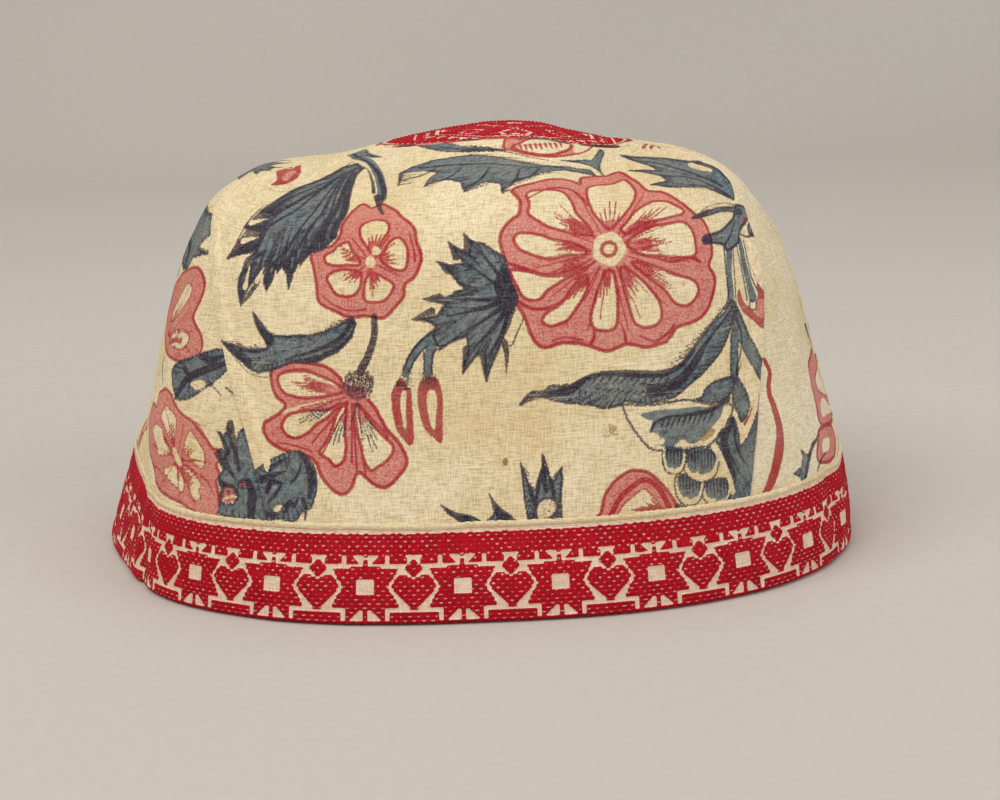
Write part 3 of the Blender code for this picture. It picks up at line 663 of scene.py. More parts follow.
    # node with two small leaves
    leaf(P, [(735, 378), (724, 378), (712, 383), (704, 391), (702, 397), (692, 401), (704, 402), (714, 403), (724, 400), (731, 392)], 0.8, soft=True)
    leaf(P, [(737, 378), (744, 386), (748, 398), (748, 410), (742, 422), (737, 412), (733, 402), (733, 390)], 0.8, soft=True)
    P.stroke([(735, 380), (732, 396), (734, 408)], "dark", 0.8, 0.6)
    P.stroke([(272, 184), (282, 188.5), (304, 186.5), (326, 179), (341, 170), (350, 163)], "dark", 0.3, 0.7, 0.4)
    # --- large blue and cream bloom
    P.shape([(623, 402), (625, 412), (629, 422), (646, 445), (656, 450), (666, 450), (678, 451), (690, 453), (701, 450), (709, 445), (720, 435), (728, 424),
             (733, 407), (726, 404), (712, 405), (694, 401), (681, 400), (668, 403), (652, 405), (640, 403)], line="dark", width=0.62, cut=("blue",))
    P.shape([(642, 413), (660, 410), (687, 407), (713, 406), (727, 400), (725, 413), (715, 428), (702, 440), (690, 444), (682, 439), (674, 446), (664, 447),
             (657, 444), (660, 437), (649, 430), (653, 422), (643, 418)], fill="blue")
    P.stroke([(651, 432), (654, 424), (664, 418), (680, 415), (698, 413), (712, 409), (728, 399)], "dark", 0.7, 1.8, 1.2)
    hatch(P, [((664, 420), (712, 413), 10, (-3.5, 9))], w=0.9)
    P.shape([(657, 442), (662, 438), (665, 442), (660, 445)], cut=("blue",))
    P.stroke([(727, 404), (722, 420), (710, 434), (700, 443)], None, 1.6, 1.0, 1.8, cut=("blue",))
    # scalloped petals under it
    for x0, x1, y0, y1 in ((704, 730, 480, 507), (677, 702, 476, 506), (685, 717, 449, 482), (664, 684, 449, 475)):
        w, h, m = x1 - x0, y1 - y0, (x0 + x1) / 2
        scale = [(x0, y0), (x0 - 1, y0 + h * 0.55), (x0 + w * 0.14, y0 + h * 0.86), (m, y1), (x1 - w * 0.14, y0 + h * 0.88), (x1 + 1, y0 + h * 0.58), (x1, y0)]
        P.shape(scale, line="dark", width=0.5, cut=("blue", "dark"))
        P.shape([(x0 + 1.5, y0), (x0 + 2, y0 + h * 0.5), (x0 + w * 0.24, y0 + h * 0.72), (m - w * 0.1, y0 + h * 0.70), (m, y0 + h * 0.80), (m + w * 0.16, y0 + h * 0.72),
                 (x1 - w * 0.2, y0 + h * 0.70), (x1 - 2, y0 + h * 0.5), (x1 - 1.5, y0)], fill="blue")
        hatch(P, [((x0 + 3, y0 + 1), (x1 - 3, y0 + 1), int(w / 3.4), (0.5, h * 0.50))], w=0.8)
    P.stroke([(713, 446), (722, 460), (730, 474), (736, 486)], None, 1.2, 1.0, 1.4, cut=("blue", "dark"))
    P.stroke([(677, 506), (685, 510), (696, 511), (703, 510)], "dark", 1.4, 1.6, 2.2)
    # blue leaves that run into the right seam
    leaf(P, [(733, 416), (729, 426), (721, 430), (716, 444), (722, 462), (730, 478), (735, 490), (728, 500), (735, 503), (752, 499), (757, 470), (758, 440),
             (757, 412), (752, 424), (746, 438), (741, 446), (738, 430)], 0.7, soft=True)
    P.stroke([(731, 420), (724, 440), (728, 458), (735, 476)], "dark", 2.6, 1.2, 2.6)
    P.stroke([(733, 424), (736, 444), (743, 462)], "dark", 1.0, 0.4)
    P.stroke([(736, 440), (742, 458), (748, 468)], "dark", 0.7, 0.4)
    P.stroke([(727, 446), (736, 466), (744, 480)], "dark", 0.8, 0.4)
    P.stroke([(716, 446), (724, 464), (731, 482), (733, 492)], None, 1.0, 1.4, 1.2, cut=("blue", "dark"))
    P.stroke([(744, 424), (748, 416), (751, 408)], "red", 0.8, 0.4)
    P.stroke([(759, 394), (756, 430), (755, 462), (750, 498)], "red", 0.9, 0.8, 0.7)

    P.grain([(640, 412), (675, 408), (716, 404), (728, 402), (716, 428), (702, 442), (672, 448), (652, 436)], "blue", -0.15, over=True)
    P.grain([(662, 450), (716, 450), (728, 506), (676, 508)], "blue", -0.17, over=True)
    P.grain([(520, 392), (562, 380), (600, 373), (650, 376), (668, 384), (640, 398), (590, 408), (545, 402)], "blue", -0.13, over=True)
    P.grain([(592, 378), (640, 375), (680, 372), (668, 392), (640, 402), (600, 404)], "dark", 0.24)
    P.grain([(700, 440), (709, 429), (715, 428.5), (714.5, 434), (703, 442)], "brown", -0.10)
    P.grain([(604, 424), (616, 424), (617, 437), (603, 437)], "brown", 0.15)
    P.grain([(609.5, 427), (615, 427), (615.5, 434), (609.5, 434)], "brown", -0.06)
    for x in (604.0, 606.6, 609.2, 613.0, 616.4):
        P.stroke([(x, 424), (x + 0.3, 437)], "brown", 0.10, 0.16)
    for y in (424.5, 428.6, 433.4, 436.6):
        P.stroke([(602, y), (617.5, y + 0.4)], "brown", 0.08, 0.14)
    P.shape([(503, 459), (506, 457), (508.5, 461), (507.5, 465), (504, 465.5), (502, 462)], fill="brown")
    P.grain([(471, 453), (474, 453), (474, 456), (471, 456)], "brown", 0.02)

    # --- half flower at the hem
    P.shape([(596, 524), (601, 513), (604, 498), (610, 487), (617, 479), (631, 471), (647, 472), (660, 482), (670, 494), (678, 507), (684, 524)],
            fill="pink", line="red", width=0.8)
    P.shape([(614, 524), (615, 508), (621, 497), (631, 488), (642, 480), (652, 482), (661, 492), (669, 508), (672, 524)], line="red", width=1.3)
    P.shape([(620, 524), (622, 506), (633, 497), (644, 489), (652, 496), (660, 505), (666, 524)], cut=("pink", "red"), line="red", width=0.4)
    for a, b, w in (((650, 497), (664, 511), 0.7), ((645, 502), (661, 510), 0.9), ((640, 506), (656, 511), 0.8), ((632, 510), (650, 508), 0.9), ((634, 514), (660, 516), 0.8)):
        P.stroke([a, ((a[0] + b[0]) / 2, (a[1] + b[1]) / 2 + 0.8), b], "red", 0.2, w, w)
    # --- leaf tips along the hem
    leaf(P, [(441, 505), (449, 511), (458, 517), (466, 515), (476, 518), (484, 523), (462, 525), (456, 519), (447, 512)], 0.8)
    leaf(P, [(489, 494), (495, 504), (502, 511), (510, 516), (516, 521), (486, 522), (493, 516), (496, 508)], 0.8)
    P.stroke([(491, 498), (497, 509), (504, 517)], "dark", 0.5, 3.5, 2.2)
    P.stroke([(443, 506), (455, 515), (466, 519)], "dark", 0.5, 2.8, 1.6)
    leaf(P, [(521, 463), (524, 474), (530, 486), (536, 491), (538, 480), (542, 468), (543, 455), (546, 466), (549, 476), (553, 482), (557, 476), (562, 467),
             (562, 480), (561, 500), (562, 519), (528, 519), (525, 500), (523, 482)], 0.9)
    P.stroke([(543, 460), (544, 478), (546, 492)], "dark", 0.6, 1.2, 1.7)
    P.stroke([(540, 478), (537, 496), (534, 512)], "dark", 1.4, 0.6)
    P.stroke([(551, 480), (554, 496), (556, 512)], "dark", 1.4, 0.8)
    P.stroke([(524, 472), (531, 492), (535, 505)], "dark", 0.8, 1.4)
    hatch(P, [((529, 494), (530, 512), 4, (5, 6)), ((548, 484), (558, 498), 4, (1, 8))], w=0.5)
    P.grain([(522, 470), (562, 470), (562, 519), (526, 519)], "blue", -0.16, over=True)
    P.shape([(536, 512), (538, 503), (548, 498), (557, 503), (556, 512), (548, 519), (538, 520)], line="dark", width=0.7, cut=("blue", "dark"))
    P.grain([(537, 511), (539, 504), (548, 500), (555, 504), (555, 511), (548, 517), (539, 518)], "pink", 0.07)
    P.grain([(537, 511), (539, 504), (548, 500), (555, 504), (555, 511), (548, 517), (539, 518)], "dark", 0.10)

    # --- blue cluster that crosses the left seam
    leaf(P, [(262, 466), (268, 462), (276, 457), (290, 452), (298, 451), (306, 456), (312, 468), (317, 480), (315, 496), (311, 508), (302, 512), (296, 520),
             (288, 521), (276, 519), (262, 523), (250, 520), (250, 480)], 0.8, soft=True)
    P.stroke([(299, 452), (309, 464), (312, 480), (309, 498)], "dark", 1.5, 1.2, 3.4)
    P.stroke([(301, 462), (298, 474), (290, 484)], "dark", 0.5, 0.5, 0.9)
    P.stroke([(268, 470), (278, 463), (288, 458)], "dark", 1.6, 0.5, 1.3)
    P.stroke([(262, 480), (273, 475), (286, 471)], "dark", 2.4, 0.4, 1.6)
    P.stroke([(268, 492), (272, 482), (284, 484)], "dark", 1.6, 0.4, 1.8)
    P.stroke([(270, 502), (276, 494), (281, 484)], "dark", 1.0, 0.4, 1.2)
    P.stroke([(262, 512), (272, 515), (282, 512)], "dark", 1.4, 0.6, 1.6)
    P.stroke([(284, 510), (290, 502), (294, 506), (298, 498)], "dark", 2.2, 0.8, 1.4)
    P.stroke([(303, 500), (306, 510), (305, 520)], "dark", 1.8, 0.6, 1.2)
    P.shape([(264, 463), (268, 459), (271, 463), (268, 472)], cut=("blue", "dark"))
    P.shape([(274, 510), (280, 505), (285, 509), (280, 514)], cut=("blue",))

    # --- over the left shoulder: pink bud, blue strap, dark curl
    P.shape([(270, 185), (277, 180), (281, 170), (292, 171), (303, 165), (301, 172), (297, 178), (286, 184)], fill="red", cut=())
    P.shape([(282, 178), (288, 173), (296, 172), (290, 178), (285, 181)], fill="pink", cut=("red",))
    P.stroke([(284, 155), (289, 161), (296, 168)], "blue", 2.4, 1.6, 2.4)
    P.stroke([(281, 156), (286, 163), (292, 170)], "dark", 0.5, 1.4)
    P.stroke([(288, 154), (294, 160), (299, 165)], "dark", 0.5, 1.0)
    P.stroke([(242, 181), (249, 173), (257, 167), (265, 165), (272, 169), (277, 174)], "dark", 0.9, 0.5, 2.4)
    P.stroke([(307, 155), (312, 156), (319, 158)], "dark", 2.0, 0.5, 1.8)


# ------------------------------------------------------------------ motifs given directly on the cloth, in mm
def ring(c, rx, ry=None, n=14, wave=0.0, lobes=5, turn=0.0):
    ry = rx if ry is None else ry
    a = np.linspace(0, 2 * pi, n + 1)[:-1]
    k = 1 + wave * np.cos(lobes * a)
    x, y = rx * k * np.cos(a), ry * k * np.sin(a)
    return np.stack([c[0] + x * np.cos(turn) - y * np.sin(turn), c[1] + x * np.sin(turn) + y * np.cos(turn)], -1)


def rosette(P, c, r, petals=8, turn=0.0, squash=1.0, clear=False):
    """An open flower: scalloped pink disc, cream petals with fingers of shading, and a ringed eye."""
    c = np.asarray(c, float)
    a = np.linspace(0, 2 * pi, petals * 6 + 1)[:-1]
    k = 1 + 0.075 * np.abs(np.cos(petals * (a - turn) / 2)) - 0.04 + 0.02 * np.sin(3 * a + 1)
    edge = c + np.stack([r * squash * k * np.cos(a), r * k * np.sin(a)], -1)
    P.shape(edge, fill="pink", line="red", width=0.85, board=False, cut=("blue", "dark") if clear else ())
    for i in range(petals):
        t = turn + 2 * pi * i / petals
        d = np.array((squash * np.cos(t), np.sin(t)))
        petal(P, c + d * r * 0.24, c + d * r * (0.80 + 0.04 * np.sin(5 * i)), r * 1.72 / petals, bend=r * 0.03 * np.sin(2.1 * i), fingers=4,
              reach=0.66 + 0.05 * np.sin(3 * i), board=False, square=0.5, unit=min(r / 22, 1.0))
        h = t + pi / petals
        e = np.array((squash * np.cos(h), np.sin(h)))
        P.stroke([c + e * r * 0.24, c + e * r * 0.55, c + e * r * 0.86], "red", 0.7, 0.35, board=False)
    P.shape(ring(c, r * 0.2 * squash, r * 0.2, wave=0.06), cut=("pink", "red"), board=False)
    P.shape(ring(c, r * 0.09 * squash, r * 0.09), line="red", width=0.8, board=False)


def toothed(P, base, tip, width, teeth=4, bend=0.0, dark_side=1, one_sided=False):
    """A blue leaf with long back-swept teeth, dark at its edges and veins."""
    base, tip = np.asarray(base, float), np.asarray(tip, float)
    ts, ws = [0.0], [0.0]
    for i in range(teeth):
        f = (i + 0.55) / teeth
        swell = np.sin(pi * min(f * 0.9 + 0.12, 1)) ** 0.7
        ts += [0.10 + 0.75 * (i + 0.35) / teeth, 0.16 + 0.80 * (i + 1.0) / teeth + 0.03]
        ws += [width * swell * 0.72, width * swell * (1.22 if i % 2 else 1.08)]
        ts += [0.14 + 0.76 * (i + 0.95) / teeth - 0.02]
        ws += [width * swell * 0.62]
    ts, ws = np.array(ts), np.array(ws)
    other = (-0.45 if one_sided else -1.0) * ws[::-1]
    t = np.concatenate([ts, [1.0], ts[::-1][:-1]])
    w = np.concatenate([ws, [0.0], other[:-1]])
    leaf(P, place(base, tip, t, w, bend), 0.75, board=False)
    P.stroke(place(base, tip, (0.0, 0.4, 0.95), (0, 0, 0), bend), "dark", 0.9, 0.3, 0.6, board=False)
    for i in range(teeth):
        f = 0.12 + 0.78 * (i + 0.2) / teeth
        far = 0.16 + 0.80 * (i + 1.0) / teeth
        swell = width * np.sin(pi * min((i + 0.55) / teeth * 0.9 + 0.12, 1)) ** 0.7
        for side in (1, -1):
            w = swell * side * (0.45 if one_sided and side < 0 else 1.0)
            P.stroke(place(base, tip, (f, (f + far) / 2, far), (0, w * 0.5, w * 1.02), bend), "dark", 0.5, 0.3,
                     1.0 if side == dark_side else 0.6, board=False)
            for j in range(3):
                g = f + 0.05 * (j + 1)
                P.stroke(place(base, tip, (g, g + 0.07), (w * 0.22 * (j + 1), w * (0.22 * (j + 1) + 0.18)), bend), "dark", 0.35, 0.15, board=False)


def strap(P, base, tip, width, bend=0.0):
    """A plain leaf with a dark upper edge and short hatching."""
    t = np.array((0.0, 0.12, 0.35, 0.6, 0.85, 1.0, 0.85, 0.6, 0.35, 0.12))
    w = np.array((0.0, 0.5, 1.0, 0.9, 0.4, 0.0, -0.35, -0.7, -0.8, -0.5)) * width
    leaf(P, place(base, tip, t, w, bend), 0.6, board=False, soft=True)
    P.stroke(place(base, tip, (0.02, 0.35, 0.7, 1.0), (0.3 * width, 0.8 * width, 0.6 * width, 0), bend), "dark", 0.5, 0.3, 1.5, board=False)
    P.stroke(place(base, tip, (0.0, 0.5, 0.9), (0, 0, 0), bend), "dark", 0.6, 0.2, board=False)
    for i in range(7):
        f = 0.18 + 0.09 * i
        P.stroke(place(base, tip, (f, f + 0.06), (-0.1 * width, -0.6 * width), bend), "dark", 0.4, 0.15, board=False)


def stem(P, points, width=1.6):
    P.stroke(points, "blue", width * 0.8, width, width * 1.1, board=False)
    q = np.asarray(points, float)
    d = np.gradient(q, axis=0)
    n = np.stack([-d[:, 1], d[:, 0]], -1) / np.maximum(np.linalg.norm(d, axis=1, keepdims=True), 1e-6)
    P.stroke(q + n * width * 0.5, "dark", 0.5, 0.5, board=False)
    P.stroke(q - n * width * 0.5, "dark", 0.4, 0.4, board=False)


def bud(P, base, tip, width):
    """A closed bud: red edge, cream inside."""
    t = np.array((0.0, 0.12, 0.35, 0.65, 0.88, 1.0, 0.88, 0.65, 0.35, 0.12))
    w = np.array((0.3, 0.75, 1.0, 0.8, 0.35, 0.0, -0.35, -0.8, -1.0, -0.75)) * width
    P.shape(place(base, tip, t, w), line="red", width=1.3, cut=("pink", "blue"), board=False)
    P.stroke(place(base, tip, (0.1, 0.4, 0.8), (0.8 * width, width, 0.5 * width)), "red", 1.0, 0.6, 1.4, board=False)
    P.shape(ring(base, 1.7, 1.4, n=8), fill="dark", board=False)


def bell(P, base, tip, width):
    """A hanging flower seen from the side, with five petals."""
    t = np.array((0.02, 0.2, 0.42, 0.62, 0.80, 1.0, 0.90, 1.06, 0.92, 1.0, 0.80, 0.62, 0.42, 0.2))
    w = np.array((0.14, 0.42, 0.62, 0.86, 1.02, 0.72, 0.40, 0.0, -0.38, -0.74, -1.0, -0.88, -0.60, -0.40)) * width
    P.shape(place(base, tip, t, w), fill="pink", line="red", width=0.85, board=False)
    for across, far, wide in ((0.62, 0.86, 0.24), (0.0, 0.96, 0.28), (-0.62, 0.86, 0.24), (0.34, 0.62, 0.14), (-0.34, 0.62, 0.14)):
        a = place(base, tip, (0.25, far), (across * width * 0.35, across * width))
        petal(P, a[0], a[1], wide * width, fingers=3, board=False, tone="red" if far > 0.7 else "dark", unit=0.8, square=0.4)
    for across in (0.85, 0.32, -0.3, -0.82):
        P.stroke(place(base, tip, (0.12, 0.5, 0.9), (0, across * width * 0.5, across * width)), "red", 0.8, 0.4, board=False)
    P.shape(ring(base, 2.4, 2.2, n=9, wave=0.08), fill="dark", cut=("pink", "red"), board=False)


# ------------------------------------------------------------------ the other panels
def draw_left(P):
    # leaf on the shoulder, and the flower under it
    leaf(P, [(213, 199), (203, 208), (195, 219), (189, 232), (185, 250), (184, 270), (188, 268), (193, 258), (201, 255), (210, 253), (198, 249),
             (204, 240), (213, 232), (212, 215)], 1.1, soft=False)
    P.stroke([(212, 206), (200, 224), (190, 246), (186, 264)], "dark", 0.6, 2.4, 1.8)
    hatch(P, [((208, 214), (196, 244), 6, (-4, 7)), ((202, 212), (190, 236), 5, (-3, 8))], w=0.5)
    P.shape([(196, 267), (201, 272), (204, 280), (204, 290), (200, 302), (194, 315), (196, 325), (201, 335), (202, 347), (195, 360), (185, 363), (175, 360),
             (167, 352), (165, 342), (167, 320), (172, 295), (180, 277), (186, 271)], fill="pink", line="red", width=0.85)
    lobe(P, [(187, 284), (192, 286), (191, 295), (185, 305), (178, 315), (171, 322), (174, 310), (180, 297)], (168, 328), 3, 0.7, 0.4, 0.6, tone="dark")
    lobe(P, [(170, 338), (175, 331), (182, 330), (189, 335), (188, 343), (182, 349), (175, 348), (170, 343)], (166, 342), 4, 0.7, 0.4, 0.6)
    rays(P, (168, 334), [(196, 275), (190, 312), (198, 330), (190, 352), (180, 356), (176, 296)], w0=0.8, w1=0.4)
    P.stroke([(165, 350), (163, 366), (163, 384)], "blue", 0.6, 0.5, 1.0)
    # knotted leaf that runs into the front seam
    leaf(P, [(172, 372), (178, 362), (190, 358), (205, 352), (222, 349), (230, 354), (229, 366), (221, 377), (209, 385), (194, 396), (180, 400),
             (174, 392)], 1.0, soft=True)
    P.stroke([(176, 396), (186, 380), (200, 372), (218, 366), (229, 361)], "dark", 2.6, 1.6, 3.0)
    P.stroke([(200, 356), (212, 360), (224, 356)], "dark", 1.8, 1.2, 2.6)
    P.stroke([(184, 368), (190, 378), (188, 392)], "dark", 1.8, 0.8, 1.4)
    P.shape([(190, 384), (200, 380), (206, 384), (198, 390)], cut=("blue", "dark"))
    P.stroke([(209, 384), (216, 390), (222, 396)], "dark", 0.7, 0.5)
    P.stroke([(226, 388), (234, 395), (243, 404)], "dark", 0.7, 0.4)
    # second flower
    P.shape([(159, 394), (166, 389), (171, 394), (174, 402), (180, 412), (185, 416), (192, 421), (200, 431), (208, 442), (213, 449), (219, 450), (220, 460),
             (216, 465), (219, 474), (216, 481), (218, 492), (219, 510), (213, 516), (203, 515), (192, 511), (180, 502), (167, 496), (157, 484), (154, 468),
             (151, 457), (149, 442), (149, 421), (152, 407), (154, 403), (157, 406)], fill="pink", line="red", width=0.8)
    R = (177, 458)
    for outline, fingers in (
        ([(161, 416), (163, 411), (166, 406), (170, 410), (174.5, 414), (176.5, 421), (175.5, 432), (174, 446), (169, 437), (164, 425)], 4),
        ([(153, 430), (156, 424), (161, 428), (163, 436), (167, 443), (172, 451), (164, 455), (158, 454), (156, 444)], 4),
        ([(184, 444), (187, 436), (190.6, 430), (194, 436), (201, 446), (205, 457), (202.5, 468), (191, 462), (182, 458)], 5),
        ([(163, 470), (170, 466), (176, 464), (180, 471), (184, 482), (183.5, 492), (177, 488), (168.5, 479)], 4),
        ([(182, 465), (188, 468), (195, 476), (201, 485), (198.5, 490), (200.5, 499), (192, 498), (189.5, 488), (184, 474)], 4),
    ):
        lobe(P, outline, R, fingers, 0.66, 0.40, 0.5)
    rays(P, R, [(184, 424), (210, 462), (196, 506), (160, 488), (152, 444), (164, 402), (206, 480), (180, 500)], w0=0.9, w1=0.4, start=0.1)
    P.shape([(172.5, 448), (175, 448), (181, 460), (181.5, 466), (177, 463), (174, 456)], cut=("pink", "red"))
    P.stroke([(190, 420), (198, 424), (203, 432)], "red", 0.5, 0.4, 0.5)
    P.stroke([(152, 462), (160, 470), (164, 482)], "red", 0.5, 0.4, 0.5)
    P.stroke([(200, 474), (208, 482), (214, 496)], "red", 0.5, 0.4, 0.5)
    # toothed blue cluster against the front seam
    leaf(P, [(228, 421), (231, 438), (236, 450), (238, 432), (248, 424), (251, 440), (256, 448), (262, 462), (268, 478), (270, 520), (250, 524),
             (224, 520), (218, 512), (222, 494), (217, 478), (223, 470), (216, 452), (224, 458), (227, 448), (217, 430), (225, 436)], 0.8, soft=False)
    P.stroke([(230, 424), (234, 446), (240, 470)], "dark", 2.4, 0.6, 1.8)
    P.stroke([(250, 428), (253, 444), (259, 462)], "dark", 2.0, 0.5, 1.6)
    P.stroke([(220, 452), (228, 468), (236, 480)], "dark", 2.6, 0.5, 1.6)
    P.stroke([(248, 480), (252, 498), (250, 518)], "dark", 1.4, 2.2, 3.0)
    for a, b in (((228, 421), (233, 446)), ((217, 429), (228, 452)), ((246, 424), (250, 446)), ((213, 452), (226, 466)), ((217, 478), (226, 486))):
        P.stroke([a, ((a[0] + b[0]) / 2, (a[1] + b[1]) / 2), b], "dark", 0.3, 1.8, 1.2)
    P.shape(ring((229, 495), 9, 9), line="dark", width=0.9, cut=("blue", "dark"), fill="pink")
    P.shape(ring((243, 484), 4, 4), line="dark", width=0.7, cut=("blue", "dark"), fill="pink")
    P.grain(ring((229, 495), 9, 9), "dark", 0.06)
    P.grain(ring((243, 484), 5, 5), "dark", 0.02)
    P.stroke([(223, 500), (230, 496), (238, 497)], None, 0.5, 0.4, 0.8, cut=("dark", "pink"))
    P.stroke([(225, 504), (231, 502), (236, 503)], None, 0.3, 0.3, 0.5, cut=("dark", "pink"))
    hatch(P, [((222, 492), (236, 490), 5, (0.5, 5)), ((240, 482), (246, 482), 3, (0, 4))], w=0.6)
    hatch(P, [((228, 450), (240, 468), 4, (2, 9)), ((254, 470), (262, 498), 5, (-1, 8))], w=0.5)
    P.stroke([(243, 181), (240, 196), (238, 206)], "dark", 0.3, 0.3)
    # farther round the side
    rosette(P, (-34, 66), 14, petals=7, turn=0.4)
    toothed(P, (-20, 74), (14, 92), 8.5, teeth=4, bend=4)
    stem(P, [(-34, 52), (-36, 40), (-30, 28), (-20, 20)])
    bell(P, (-22, 24), (2, 10), 13)
    toothed(P, (-36, 42), (-64, 30), 8, teeth=4, bend=-3)
    strap(P, (-30, 30), (-2, 40), 4, bend=4)
    bud(P, (-44, 22), (-50, 8), 3.2)
    stem(P, [(-36, 40), (-42, 32), (-44, 24)], 1.1)
    rosette(P, (-70, 8), 13, petals=7, turn=0.9)
    toothed(P, (4, 62), (18, 44), 6, teeth=3, bend=2)
    stem(P, [(-20, 72), (-8, 70), (4, 62)], 1.2)


def past_the_gore(P):
    """A bud and a flower that cross the seam between the gore and the right side."""
    P.shape([(813, 342), (822, 345), (828, 360), (833, 384), (836, 404), (832, 420), (822, 425), (816, 404), (811, 382), (809, 360)],
            fill="pink", line="red", width=0.9)
    P.shape([(817, 362), (824, 366), (826, 386), (820, 392), (815, 376)], line="red", width=0.7, cut=("pink",))
    P.shape([(822, 398), (829, 402), (828, 414), (822, 416)], cut=("pink",))
    P.stroke([(818, 346), (823, 370), (827, 396)], "red", 0.5, 0.4)
    P.shape([(820, 428), (830, 424), (835, 436), (835, 452), (828, 462), (818, 460), (818, 444)], fill="pink", line="red", width=0.9)
    P.shape([(823, 440), (829, 438), (829, 450), (823, 452)], cut=("pink",))


def draw_gore(P):
    P.stroke([(765, 360), (770, 372), (769, 384), (770, 397)], "red", 1.4, 1.8, 1.6)
    P.stroke([(770, 396), (775, 410), (779, 426), (780, 441), (777, 462), (772, 480), (765, 498)], "red", 1.9, 2.0, 3.2)
    past_the_gore(P)
    leaf(P, [(819, 434), (812, 448), (809, 466), (806, 480), (803, 490), (800, 478), (793, 474), (801, 468), (803, 458), (800, 449), (808, 455), (812, 444)], 0.7)
    P.stroke([(817, 440), (809, 458), (804, 482)], "dark", 0.6, 0.8)
    P.stroke([(826, 452), (821, 461), (818, 470)], "dark", 0.6, 1.0)
    leaf(P, [(806, 312), (813, 322), (818, 338), (815, 348), (809, 338), (805, 324)], 0.7, soft=True)
    P.stroke([(796, 316), (803, 332), (810, 344)], "dark", 0.3, 0.4)


def draw_right(P):
    past_the_gore(P)
    P.stroke([(812, 316), (816, 330), (818, 344)], "blue", 2.6, 1.8, 2.6)
    P.stroke([(815, 322), (820, 334), (824, 346)], "dark", 0.8, 0.6)
    rosette(P, (8, 40), 17, petals=8, turn=0.2)
    toothed(P, (10, 58), (-14, 78), 8, teeth=4, bend=-3)
    stem(P, [(20, 54), (28, 66), (26, 80), (14, 90)])
    toothed(P, (28, 68), (46, 84), 7, teeth=3, bend=3)
    stem(P, [(22, 28), (34, 18), (48, 16)])
    strap(P, (36, 18), (52, 34), 3.6, bend=-3)
    bell(P, (50, 18), (70, 4), 11)
    toothed(P, (30, 20), (14, 4), 6.5, teeth=3, bend=2)
    rosette(P, (54, 62), 11, petals=6, turn=0.6)
    bud(P, (-6, 18), (-9, 4), 3.0)


def draw_back(P):
    rosette(P, (16, 62), 25, petals=10, turn=0.1)
    rosette(P, (-46, 62), 13, petals=5, turn=0.5)
    stem(P, [(-46, 49), (-44, 38), (-36, 30), (-28, 24)])
    toothed(P, (-46, 76), (-80, 62), 11, teeth=5, bend=5)
    toothed(P, (-14, 56), (-30, 34), 10, teeth=4, bend=-3)
    bell(P, (-28, 24), (-50, 6), 16)
    stem(P, [(44, 70), (52, 56), (52, 40), (44, 28), (30, 22)])
    strap(P, (44, 28), (6, 22), 5.5, bend=5)
    toothed(P, (52, 42), (74, 28), 8, teeth=4, bend=3)
    toothed(P, (50, 58), (76, 66), 7.5, teeth=4, bend=-3)
    bud(P, (-8, 30), (-12, 14), 3.4)
    bud(P, (-2, 29), (-1, 13), 3.4)
    stem(P, [(-16, 44), (-12, 36), (-8, 31)], 1.1)
    stem(P, [(-14, 46), (-6, 38), (-2, 31)], 1.1)
    rosette(P, (32, 2), 12, petals=6, turn=0.3)
    toothed(P, (58, -2), (66, 20), 7, teeth=3, bend=1)
    toothed(P, (10, -3), (14, 14), 5, teeth=3, bend=1)
    strap(P, (-20, 92), (16, 94), 4, bend=2)
    toothed(P, (34, 90), (64, 84), 7, teeth=4, bend=2)
    bell(P, (-50, 88), (-72, 82), 7)
    rosette(P, (-76, 14), 11, petals=6, turn=0.1)


# ------------------------------------------------------------------ noise and the lie of the cloth
TABLE = np.random.default_rng(11).random((32, 32, 32)) * 2 - 1


def noise(p, size=1.0, seed=0.0):
    """Smooth noise between -1 and 1."""
    q = np.asarray(p, float) / size + np.array((7.31, 3.77, 5.13)) * seed
    i = np.floor(q).astype(int)
    f = q - i
    f = f * f * (3 - 2 * f)
    out = 0.0
    for a in (0, 1):
        for b in (0, 1):
            for c in (0, 1):
                w = (f[..., 0] if a else 1 - f[..., 0]) * (f[..., 1] if b else 1 - f[..., 1]) * (f[..., 2] if c else 1 - f[..., 2])
                out = out + w * TABLE[(i[..., 0] + a) % 32, (i[..., 1] + b) % 32, (i[..., 2] + c) % 32]
    return out


def bump(x, middle, width):
    return np.exp(-(((x - middle) / width) ** 2))


def turn_to(angle, degrees):
    return np.degrees((angle - radians(degrees) + pi) % (2 * pi) - pi)


# how the brim swings out at the back left, tucks in at the front left and fills out in front: degrees, mm at its foot, mm at its top
SWING = np.array((
    (118, 0.0, 0.0), (126, 0.3, 0.3), (132, 1.2, 1.2), (138, 2.6, 2.6), (144, 4.4, 4.2), (150, 6.2, 5.8), (156, 7.2, 6.6), (162, 7.0, 6.0),
    (168, 6.2, 4.9), (174, 5.0, 2.5), (180, 3.2, 0.4), (186, 1.0, -1.6), (192, -1.5, -3.2), (198, -3.6, -4.0), (204, -4.6, -3.6),
    (210, -4.4, -2.0), (216, -3.4, -0.9), (222, -2.6, -0.3), (228, -2.0, 0.0), (234, -1.0, 0.0), (240, 0.5, 0.0), (250, 2.0, 0.0),
    (262, 2.6, 0.0), (275, 2.6, 0.0), (290, 1.8, 0.0), (305, 0.6, 0.0), (318, 0.0, 0.0),
))
# how far the crown falls away to each side of its middle: mm from left to right, mm down
FALL = np.array(((-64, 0.0), (-54, 0.6), (-47, 1.7), (-34.6, 3.1), (-21.4, 2.5), (-7, 1.2), (5, 0.2), (12.7, 0.0), (20, 0.3), (26.7, 1.6), (37.8, 2.6), (48.3, 1.3), (57, 0.2), (64, 0.0)))


